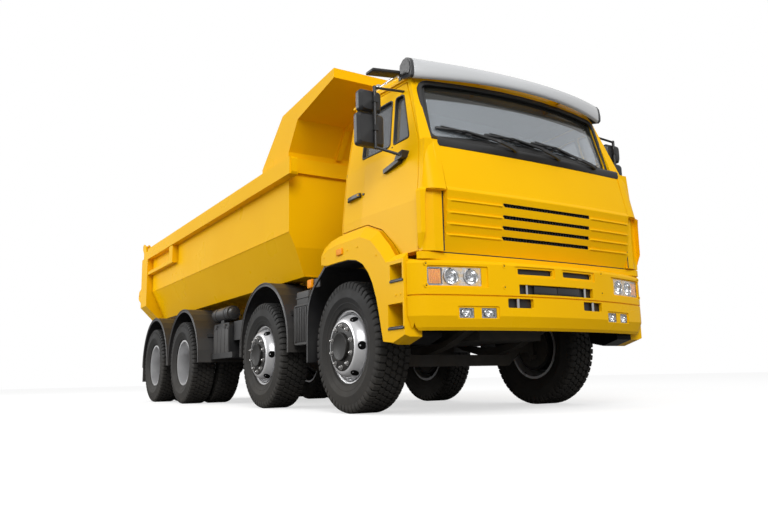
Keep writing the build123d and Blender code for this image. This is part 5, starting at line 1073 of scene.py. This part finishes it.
def amber_block(y_low, y_high):
    """Ribbed amber body behind the outboard end of the headlamp cover."""
    blocks = []
    edges = np.linspace(y_low, y_high, 7)
    for low, high in zip(edges[:-1], edges[1:]):
        middle = (low + high) / 2
        blocks.append(soft_box((nose(middle, 0.055), low, 0.928),
                               (nose(middle, 0.0215), high + 0.0002, 1.034), 0.003, 2))
    return stacked(blocks)


piece("turn_signals", both_sides(amber_block(-1.098, -1.006)), amber_lens, "chassis")
repeater = boxed((0.026, -1.264, 1.276), (0.126, -1.2445, 1.332), 0.0095, 5)
piece("fender_repeaters", both_sides(repeater), amber_lens, "chassis")


# ---------------------------------------------------------------- cab corners, roof edge and doors
# Pressed covers round the front corner posts; black rubbers seal the door windows over a black lever handle.
# A convex curb mirror stands over the right door, and bright air horns at both edges of the roof.
def corner_cover():
    """Quarter of an ellipse in plan from the door's edge to the panel's, at each height, capped on top."""
    turn = np.linspace(0, np.pi / 2, 19)
    rows = []
    for z in (1.606, 1.626, 1.70, 1.80, 1.90, 1.975, 1.983, 1.984):
        rear_x, rear_half = 1.064, side_half(1.064, z) + 0.0012
        front_x = np.interp(z, (1.606, 1.63, 1.955, 1.984), (1.183, 1.1755, 1.1035, 1.097))
        inset = 0.004 if z > 1.98 else 0.0
        x = rear_x + (front_x - rear_x - inset) * np.sin(turn) ** 0.85
        y = -0.9765 - (rear_half - 0.9765 - inset) * np.cos(turn) ** 0.75
        rows.append(from_axle(x, y, z))
    shell = np.stack(rows)
    inside = np.array([front_axle + 1.045, -1.03, 0])
    top = inside + (shell[-1] - inside) * (0.15, 0.15, 1)
    low = inside + (shell[0] - inside) * (0.60, 0.60, 1)
    return grid(np.concatenate([low[None], shell, top[None]]))


piece("corner_post_covers", both_sides(corner_cover()), yellow_paint, "chassis", crease=40)


def on_door(x, z, off):
    """Places off the door's outer skin."""
    return from_axle(x, -side_half(x, z) - off, z)


windows = (rounded_loop([(0.281, 2.046), (0.666, 2.050), (0.617, 2.460), (0.246, 2.446)], 0.034),
           rounded_loop([(0.710, 2.052), (0.905, 2.060), (0.764, 2.458), (0.661, 2.460)], 0.028))
rubbers = []
for x, z in (window.T for window in windows):
    out = np.stack([0 * x + 0.05, -np.ones_like(x), 0 * x + 0.17], -1)
    rubbers.append(bar(on_door(x, z, -0.024), 0.0125, 0.0275, out, closed=True))
small_marks = copies(soft_box((-0.006, -0.003, -0.004), (0.006, 0.003, 0.004), 0.001, 2),
                     [on_door(0.700, 2.035, 0.002)])
lever = np.array([(0.136, 1.7285), (0.160, 1.7300), (0.220, 1.7330), (0.290, 1.7352), (0.322, 1.7358)])
lever_path = on_door(lever[:, 0], lever[:, 1], np.array([0.004, 0.014, 0.017, 0.013, 0.004]))
handle = stacked([bar(lever_path, 0.036, 0.020, (0, -1, 0)),
                  soft_box(on_door(0.345, 1.727, 0.006), on_door(0.365, 1.745, -0.006) + (0, 0.004, 0),
                           0.003, 3)])
for side, turned in sides:
    piece(f"window_rubbers_{side}", turned(stacked([*rubbers, small_marks])), rubber_trim, f"door_{side}")
    piece(f"door_handle_{side}", turned(handle), black_plastic, f"door_{side}")


mirror_heads = (((-1.448, -1.252), (2.262, 2.432)), ((-1.468, -1.232), (1.990, 2.250)))


def mirror_set():
    """Glass plates of the two heads, 14 mm inside their outlines, facing the rear of the truck."""
    return stacked([boxed((0.7155, y[0] + 0.014, z[0] + 0.014), (0.7195, y[1] - 0.014, z[1] - 0.014),
                          0.0018, 3) for y, z in mirror_heads])


def mirror_backs():
    """Softly domed covers over the heads' front faces: a pyramid of ridges that rises 12 mm to its middle."""
    u, v = np.meshgrid(np.linspace(-1, 1, 13), np.linspace(-1, 1, 17))
    rise = 0.012 * (1 - np.maximum(np.abs(u), np.abs(v)))
    rounded = 1 - 0.10 * (u * v) ** 4
    return stacked([grid(from_axle(0.7825 + rise, (y[0] + y[1]) / 2 + u * (y[1] - y[0]) / 2 * 0.80 * rounded,
                                   (z[0] + z[1]) / 2 + v * (z[1] - z[0]) / 2 * 0.84 * rounded))
                    for y, z in mirror_heads])


for side, turned in sides:
    piece(f"mirror_glasses_{side}", turned(mirror_set()), mirror_chrome, f"door_{side}")
    piece(f"mirror_backs_{side}", turned(mirror_backs()), black_plastic, f"door_{side}",
          crease=8)


def air_horn():
    """Trumpet lathed about its long line: drum, narrow throat and flaring bell with a rolled rim."""
    profile = [(0.0, -0.475), (0.030, -0.475), (0.036, -0.470), (0.036, -0.435), (0.030, -0.430),
               (0.013, -0.425), (0.014, -0.300), (0.018, -0.180), (0.027, -0.080), (0.044, -0.020),
               (0.057, -0.003), (0.060, 0.0), (0.057, 0.002), (0.042, -0.012), (0.024, -0.075), (0.0, -0.085)]
    return facing_front(lathe(profile, 36), (front_axle + 0.735, -0.975, 2.700))


horn_steel = finish("horn_steel", (0.55, 0.55, 0.55), (0.48, 0.48, 0.48), 0.15, 0.28, Metallic=1.0,
                    grain_depth=0.0001)
feet = [boxed((0.40, -0.990, 2.640), (0.44, -0.960, 2.700), 0.004, 2),
        boxed((0.60, -0.990, 2.640), (0.63, -0.960, 2.690), 0.004, 2)]
trumpets = piece("air_horns", both_sides(air_horn(), *feet), horn_steel, "chassis")
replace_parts(trumpets, "roof_fittings")
curb = soft_box((-0.055, -0.130, -0.0145), (0.055, 0.130, 0.0145), 0.014, 5)
droop = -0.60 * curb[0][:, 1] ** 2 + 0.12 * curb[0][:, 1]
curb_mirror = (curb[0] + np.stack([0 * droop, 0 * droop, droop], -1) + (front_axle + 0.745, -1.215, 2.618),
               curb[1])
curb_arm = tube([(front_axle + 0.745, -1.10, 2.626), (front_axle + 0.743, -1.065, 2.630),
                 (front_axle + 0.732, -1.03, 2.622), (front_axle + 0.710, -1.000, 2.610)], 0.009, 12)
stalk = boxed((0.690, -1.040, 2.596), (0.735, -1.005, 2.630), 0.006, 3)
piece("curb_mirror", stacked([curb_mirror, curb_arm, stalk]), black_plastic, "chassis")


# ---------------------------------------------------------------- fenders and steps
# Black plastic sheets line the wheel arches; ribbed black treads lie in the two step openings of each pod.
# The fenders are bolted on, and their inboard faces low down are painted black as shade; amber markers stand
# on brackets.
def arch_liner():
    """Sheet along the arch's lower edge, 3 mm off it toward the wheel, from the flank to the frame side."""
    arch = np.array([(-0.158, 1.224), (0.020, 1.226), (0.200, 1.222), (0.330, 1.200), (0.430, 1.155),
                     (0.515, 1.075), (0.575, 0.985), (0.625, 0.870), (0.662, 0.740), (0.690, 0.620),
                     (0.711, 0.545)])
    near, far = arch + beside(arch) * 0.0015, arch + beside(arch) * 0.0045
    rings = [from_axle(line[:, 0], y, line[:, 1])
             for line, y in ((near, -1.236), (far, -1.236), (far, -0.945), (near, -0.945))]
    return grid(np.stack(rings), wrap_rows=True)


def rear_wall():
    """Sheet behind the tyre, falling from the fender to the flap; wide above, narrow below."""
    line = np.array([(-0.100, 1.243), (-0.200, 1.243), (-0.300, 1.238), (-0.370, 1.190), (-0.440, 1.146),
                     (-0.520, 1.092), (-0.585, 1.020), (-0.630, 0.935), (-0.652, 0.840), (-0.658, 0.700),
                     (-0.659, 0.560), (-0.659, 0.430)])
    inner = np.interp(line[:, 1], (0.86, 1.02), (0.80, 0.47))
    back = line - beside(line) * 0.004
    rows = [from_axle(place[:, 0], breadth, place[:, 1])
            for place, breadth in ((line, -1.190), (back, -1.190), (back, -inner), (line, -inner))]
    edge = from_axle(line[2:, 0], -1.190, line[2:, 1])
    return stacked([grid(np.stack(rows), wrap_rows=True), bar(edge, 0.026, 0.007, (0, -1, 0))])


piece("arch_liners", both_sides(arch_liner(), rear_wall()), black_plastic, "chassis", crease=50)
marker_foot = boxed((-0.560, -1.186, 1.082), (-0.420, -1.170, 1.163), 0.004, 3)
piece("marker_brackets", both_sides(marker_foot), black_plastic, "chassis")
marker = boxed((-0.636, -1.206, 1.088), (-0.546, -1.160, 1.166), 0.009, 4)
piece("side_markers", both_sides(marker), amber_lens, "chassis")


def step_tread(x, z):
    """Ribbed tread plate whose outer edge stands 8 mm proud of the pod's flank."""
    plate = boxed((x[0], -1.258, z - 0.004), (x[1], -1.013, z + 0.013), 0.003, 3)
    rib = soft_box((-0.004, -1.255, z + 0.010), (0.004, -1.016, z + 0.019), 0.0015, 2)
    return stacked([plate, copies(rib, [(front_axle + place, 0, 0)
                                        for place in np.arange(x[0] + 0.015, x[1] - 0.010, 0.019)])])


piece("step_treads", both_sides(step_tread((0.794, 0.999), 0.6185), step_tread((0.828, 0.999), 0.9555)),
      black_plastic, "chassis")


def shaded_inboard(name, base, limit, top):
    """A paint that turns black inboard of a half width and below a height: painted shade on the fenders'
    inner faces.
    """
    material = base.copy()
    material.name = name
    tree = material.node_tree
    parts = wired(tree, "SeparateXYZ", {0: wired(tree, "TexCoord").outputs["Object"]}).outputs
    breadth = wired(tree, "Math", {0: parts["Y"]}, operation="ABSOLUTE")
    narrow = wired(tree, "Math", {0: breadth.outputs[0], 1: limit}, operation="LESS_THAN")
    low = wired(tree, "Math", {0: parts["Z"], 1: top}, operation="LESS_THAN")
    both = wired(tree, "Math", {0: narrow.outputs[0], 1: low.outputs[0]}, operation="MULTIPLY")
    overlaid(tree, both.outputs[0], (0.010, 0.010, 0.010, 1))
    return material


# Fender paint with painted shade on its inboard faces below 1.20 m.
dress(shaded_inboard("fender_paint_painted_shade", yellow_paint, 1.105, 1.20), "fenders")
fender_bolts = turned_to(hex_head(0.012, 0.005), "-y")
bolt_line = [(-0.21, 1.300), (0.20, 1.300), (0.36, 1.300), (0.640, 1.190), (0.900, 0.860), (0.960, 0.860)]
bolts = copies(fender_bolts, [(front_axle + x, -1.2502, z) for x, z in bolt_line])
piece("fender_bolts", both_sides(bolts), yellow_paint, "chassis")


# ---------------------------------------------------------------- mudguards
# Half-round guards over the rear three axles are black plastic; their outer flange ends in a rolled bead.
def guard_rim(axle, radius, centre_z, foot_z, edge_y):
    """Section of flange and bead, 38 mm deep, carried along a half circle with straight feet."""
    turn = np.radians(np.linspace(0, 180, 61))
    arc = np.stack([np.cos(turn), np.sin(turn)], -1)
    legs = np.linspace(foot_z, centre_z, 9)[:-1]
    right = np.stack([np.ones(8), (legs - centre_z) / radius], -1)
    left = right[::-1] * (-1, 1)
    line = np.concatenate([right, arc, left])
    inward = np.concatenate([np.tile((-1.0, 0.0), (8, 1)), -arc, np.tile((1.0, 0.0), (8, 1))])
    section = ((0.0, 0.0), (-0.0012, 0.004), (0.002, 0.0085), (0.008, 0.0100), (0.013, 0.0075),
               (0.016, 0.0035), (0.034, 0.0030), (0.038, 0.0060), (0.041, 0.0030), (0.040, -0.004),
               (0.034, -0.002), (0.010, -0.002))
    rows = []
    for depth, out in section:
        place = line * radius + inward * depth
        rows.append(from_axle(axle + place[:, 0], -edge_y - out, centre_z + place[:, 1]))
    return grid(np.stack(rows), wrap_rows=True)


guard_black = finish("guard_black", (0.022, 0.022, 0.024), (0.032, 0.032, 0.033), 0.40, 0.55, dust=0.35,
                     grain=420, grain_depth=0.0004)
dress(guard_black, "mudguards")
guard_rims = [guard_rim(-1.80, 0.648, 0.638, 0.540, 1.150), guard_rim(-4.39, 0.712, 0.533, 0.520, 1.232),
              guard_rim(-5.83, 0.712, 0.533, 0.520, 1.232)]
piece("mudguard_rims", both_sides(*guard_rims), guard_black, "chassis", crease=50)


# ---------------------------------------------------------------- chassis equipment
# Black air tank strapped to the frame side, a finned box under a filter housing, a box with a bolted lid.
# Hoist sleeves are ground and plated steel; the barrel is painted.
tank = lathe([(0.0, -0.290), (0.030, -0.288), (0.060, -0.281), (0.078, -0.268), (0.0855, -0.250),
              (0.0862, -0.246), (0.0862, 0.246), (0.0855, 0.250), (0.078, 0.268), (0.060, 0.281),
              (0.030, 0.288), (0.0, 0.290)], 60)
tank_place = np.array((front_axle - 3.365, -1.0, 1.098))
tank = facing_front(tank, tank_place)
seam = lathe([(0.0855, -0.004), (0.0882, -0.002), (0.0882, 0.002), (0.0855, 0.004)], 60)
seams = [facing_front(seam, tank_place + (along, 0, 0)) for along in (-0.235, 0.235)]
tank_black = finish("tank_black", (0.030, 0.030, 0.032), (0.045, 0.045, 0.046), 0.24, 0.36, dust=0.15,
                    grain=300, grain_depth=0.0002)
piece("air_tank_shell", stacked([tank, *seams]), tank_black, "chassis")
strap = lathe([(0.0858, -0.016), (0.0905, -0.016), (0.0905, 0.016), (0.0858, 0.016)], 60)
straps = [facing_front(strap, tank_place + (along, 0, 0)) for along in (-0.15, 0.15)]
valve = lathe([(0, -0.320), (0.012, -0.320), (0.012, -0.300), (0.018, -0.298), (0.018, -0.286)], 16)
valve = facing_front(valve, tank_place)
piece("air_tank_straps", stacked([*straps, valve]), chassis_paint, "chassis")
fin = soft_box((-0.007, -1.112, 0.630), (0.007, -1.098, 0.955), 0.003, 2)
fins = copies(fin, [(front_axle + x, 0, 0) for x in np.linspace(-1.090, -0.710, 11)])
fin_line = rounded_loop([(-1.118, 0.612), (-0.682, 0.612), (-0.682, 0.973), (-1.118, 0.973)], 0.035)
fin_frame = bar(from_axle(fin_line[:, 0], -1.1, fin_line[:, 1]), 0.018, 0.010, (0, -1, 0), closed=True)
filter_housing = boxed((-1.112, -1.088, 0.970), (-0.846, -0.470, 1.112), 0.016, 4)
filter_lid = boxed((-1.118, -1.094, 1.040), (-0.840, -0.464, 1.056), 0.006, 3)
box_grey = finish("box_grey", (0.055, 0.055, 0.057), (0.075, 0.075, 0.075), 0.45, 0.6, dust=0.3, grain=300,
                  grain_depth=0.0003, Specular_IOR_Level=0.25)
piece("finned_boxes", both_sides(fins, fin_frame, filter_housing, filter_lid), box_grey, "chassis")
lid_line = rounded_loop([(-3.600, 0.580), (-3.090, 0.580), (-3.090, 0.930), (-3.600, 0.930)], 0.030)
lid_rim = bar(from_axle(lid_line[:, 0], -1.0598, lid_line[:, 1]), 0.016, 0.008, (0, -1, 0), closed=True)
lid = boxed((-3.595, -1.066, 0.585), (-3.095, -1.058, 0.925), 0.003, 3)
ribs = [soft_box((front_axle + x - 0.010, -1.072, 0.600), (front_axle + x + 0.010, -1.062, 0.910), 0.004, 2)
        for x in (-3.48, -3.345, -3.21)]
latch = soft_box((-0.018, -1.082, 0.915), (0.018, -1.060, 0.965), 0.004, 3)
latches = copies(latch, [(front_axle + x, 0, 0) for x in (-3.50, -3.19)])
lid_bolts = copies(turned_to(hex_head(0.014, 0.007), "-y"),
                   [(front_axle + x, -1.0658, z) for x in (-3.578, -3.345, -3.112) for z in (0.602, 0.908)])
piece("side_box_lids", both_sides(lid_rim, lid, *ribs, latches, lid_bolts), box_grey, "chassis")
ram_steel = finish("ram_steel", (0.62, 0.62, 0.63), (0.56, 0.56, 0.57), 0.10, 0.18, Metallic=1.0, mottle=8,
                   grain=260, grain_depth=0.0001)
dress(chassis_paint, "hoist_barrel")
dress(ram_steel, *[name for name in node if name.startswith("hoist_stage")])


def rail_bolts():
    """Rows of flanged bolts along the outer face of each frame rail, in pairs at the cross-members."""
    head = turned_to(hex_head(0.018, 0.010), "-y")
    places = [(front_axle + x + dx, -0.4302, z) for x in (0.79, -0.90, -2.70, -3.50, -5.11, -6.29)
              for dx in (-0.022, 0.022) for z in (0.775, 0.955)]
    places += [(front_axle + axle + dx, -0.4302, z) for axle in (0, -1.8, -4.39, -5.83)
               for dx in (-0.55, -0.45, 0.45, 0.55) for z in (0.790, 0.850)]
    return copies(head, places)


piece("frame_bolts", both_sides(rail_bolts()), cast_iron, "chassis")


# ---------------------------------------------------------------- tail
# Rear lamps are three ribbed lenses in each black box; two red reflectors and a blank plate sit on the bar.
red_lens = finish("red_lens", (0.50, 0.008, 0.006), (0.44, 0.006, 0.005), 0.10, 0.2, grain=150,
                  grain_depth=0.0006, Coat_Weight=0.6)
white_lens = finish("white_lens", (0.72, 0.72, 0.70), (0.66, 0.66, 0.64), 0.10, 0.2, grain=150,
                    grain_depth=0.0006, Coat_Weight=0.6)
bar_rear = front_axle - 6.660
for lens_name, material, low, high in (("red_lamps", red_lens, -1.118, -1.005),
                                       ("amber_lamps", amber_lens, -0.995, -0.895),
                                       ("reversing_lamps", white_lens, -0.885, -0.775)):
    edges = np.linspace(low, high, 5)
    lens = stacked([soft_box((bar_rear + 0.002, start, 0.632), (bar_rear + 0.0115, end + 0.0003, 0.728),
                             0.003, 2) for start, end in zip(edges[:-1], edges[1:])])
    piece(f"rear_{lens_name}", both_sides(lens), material, "chassis")
round_red = lathe([(0, 0.006), (0.030, 0.005), (0.037, 0.0), (0.037, -0.004)], 32)
reflectors = (round_red[0][:, (1, 0, 2)] * (-1, 1, 1) + (bar_rear, 0, 0), round_red[1])
piece("rear_reflectors", copies(reflectors, [(0, y, 0.560) for y in (-1.05, 1.05)]), red_lens, "chassis")
plate_white = finish("plate_white", (0.70, 0.70, 0.69), (0.64, 0.64, 0.63), 0.35, 0.5, grain=300,
                     grain_depth=0.0001)
piece("blank_plate", soft_box((bar_rear - 0.004, -0.26, 0.508), (bar_rear + 0.001, 0.26, 0.612), 0.0018, 3),
      plate_white, "chassis")


# ---------------------------------------------------------------- tipping body
# The yellow side plates are joined by fillet welds along the rail, the rear post and the stiffener below it.
def weld(path, radius):
    """Bead along a path whose radius swells every few millimetres, as laid by hand."""
    path = np.asarray(path, float)
    length = np.linalg.norm(path[1] - path[0])
    count = max(int(length / 0.012), 8)
    line = path[0] + (path[1] - path[0]) * np.linspace(0, 1, count)[:, None]
    swell = radius * (1 + 0.22 * np.sin(np.arange(count) * 2.1) + 0.10 * np.sin(np.arange(count) * 0.37))
    return tube(line, swell, 6, (0.1, 0.3, 1))


weld_lines = (((-6.39, -1.1600, 2.2400), (-0.95, -1.1600, 2.2400)),
              ((-6.395, -1.1600, 1.72), (-6.395, -1.1600, 2.235)),
              ((-6.40, -1.1602, 1.7135), (-1.135, -1.1602, 1.7135)),
              ((-5.17, -1.16, 1.985), (-6.39, -1.16, 1.985)), ((-5.17, -1.16, 2.235), (-5.17, -1.16, 2.035)))
piece("bed_welds", both_sides(*[weld(from_axle(*np.transpose(ends)), 0.0042) for ends in weld_lines]),
      yellow_paint, "bed", crease=60)
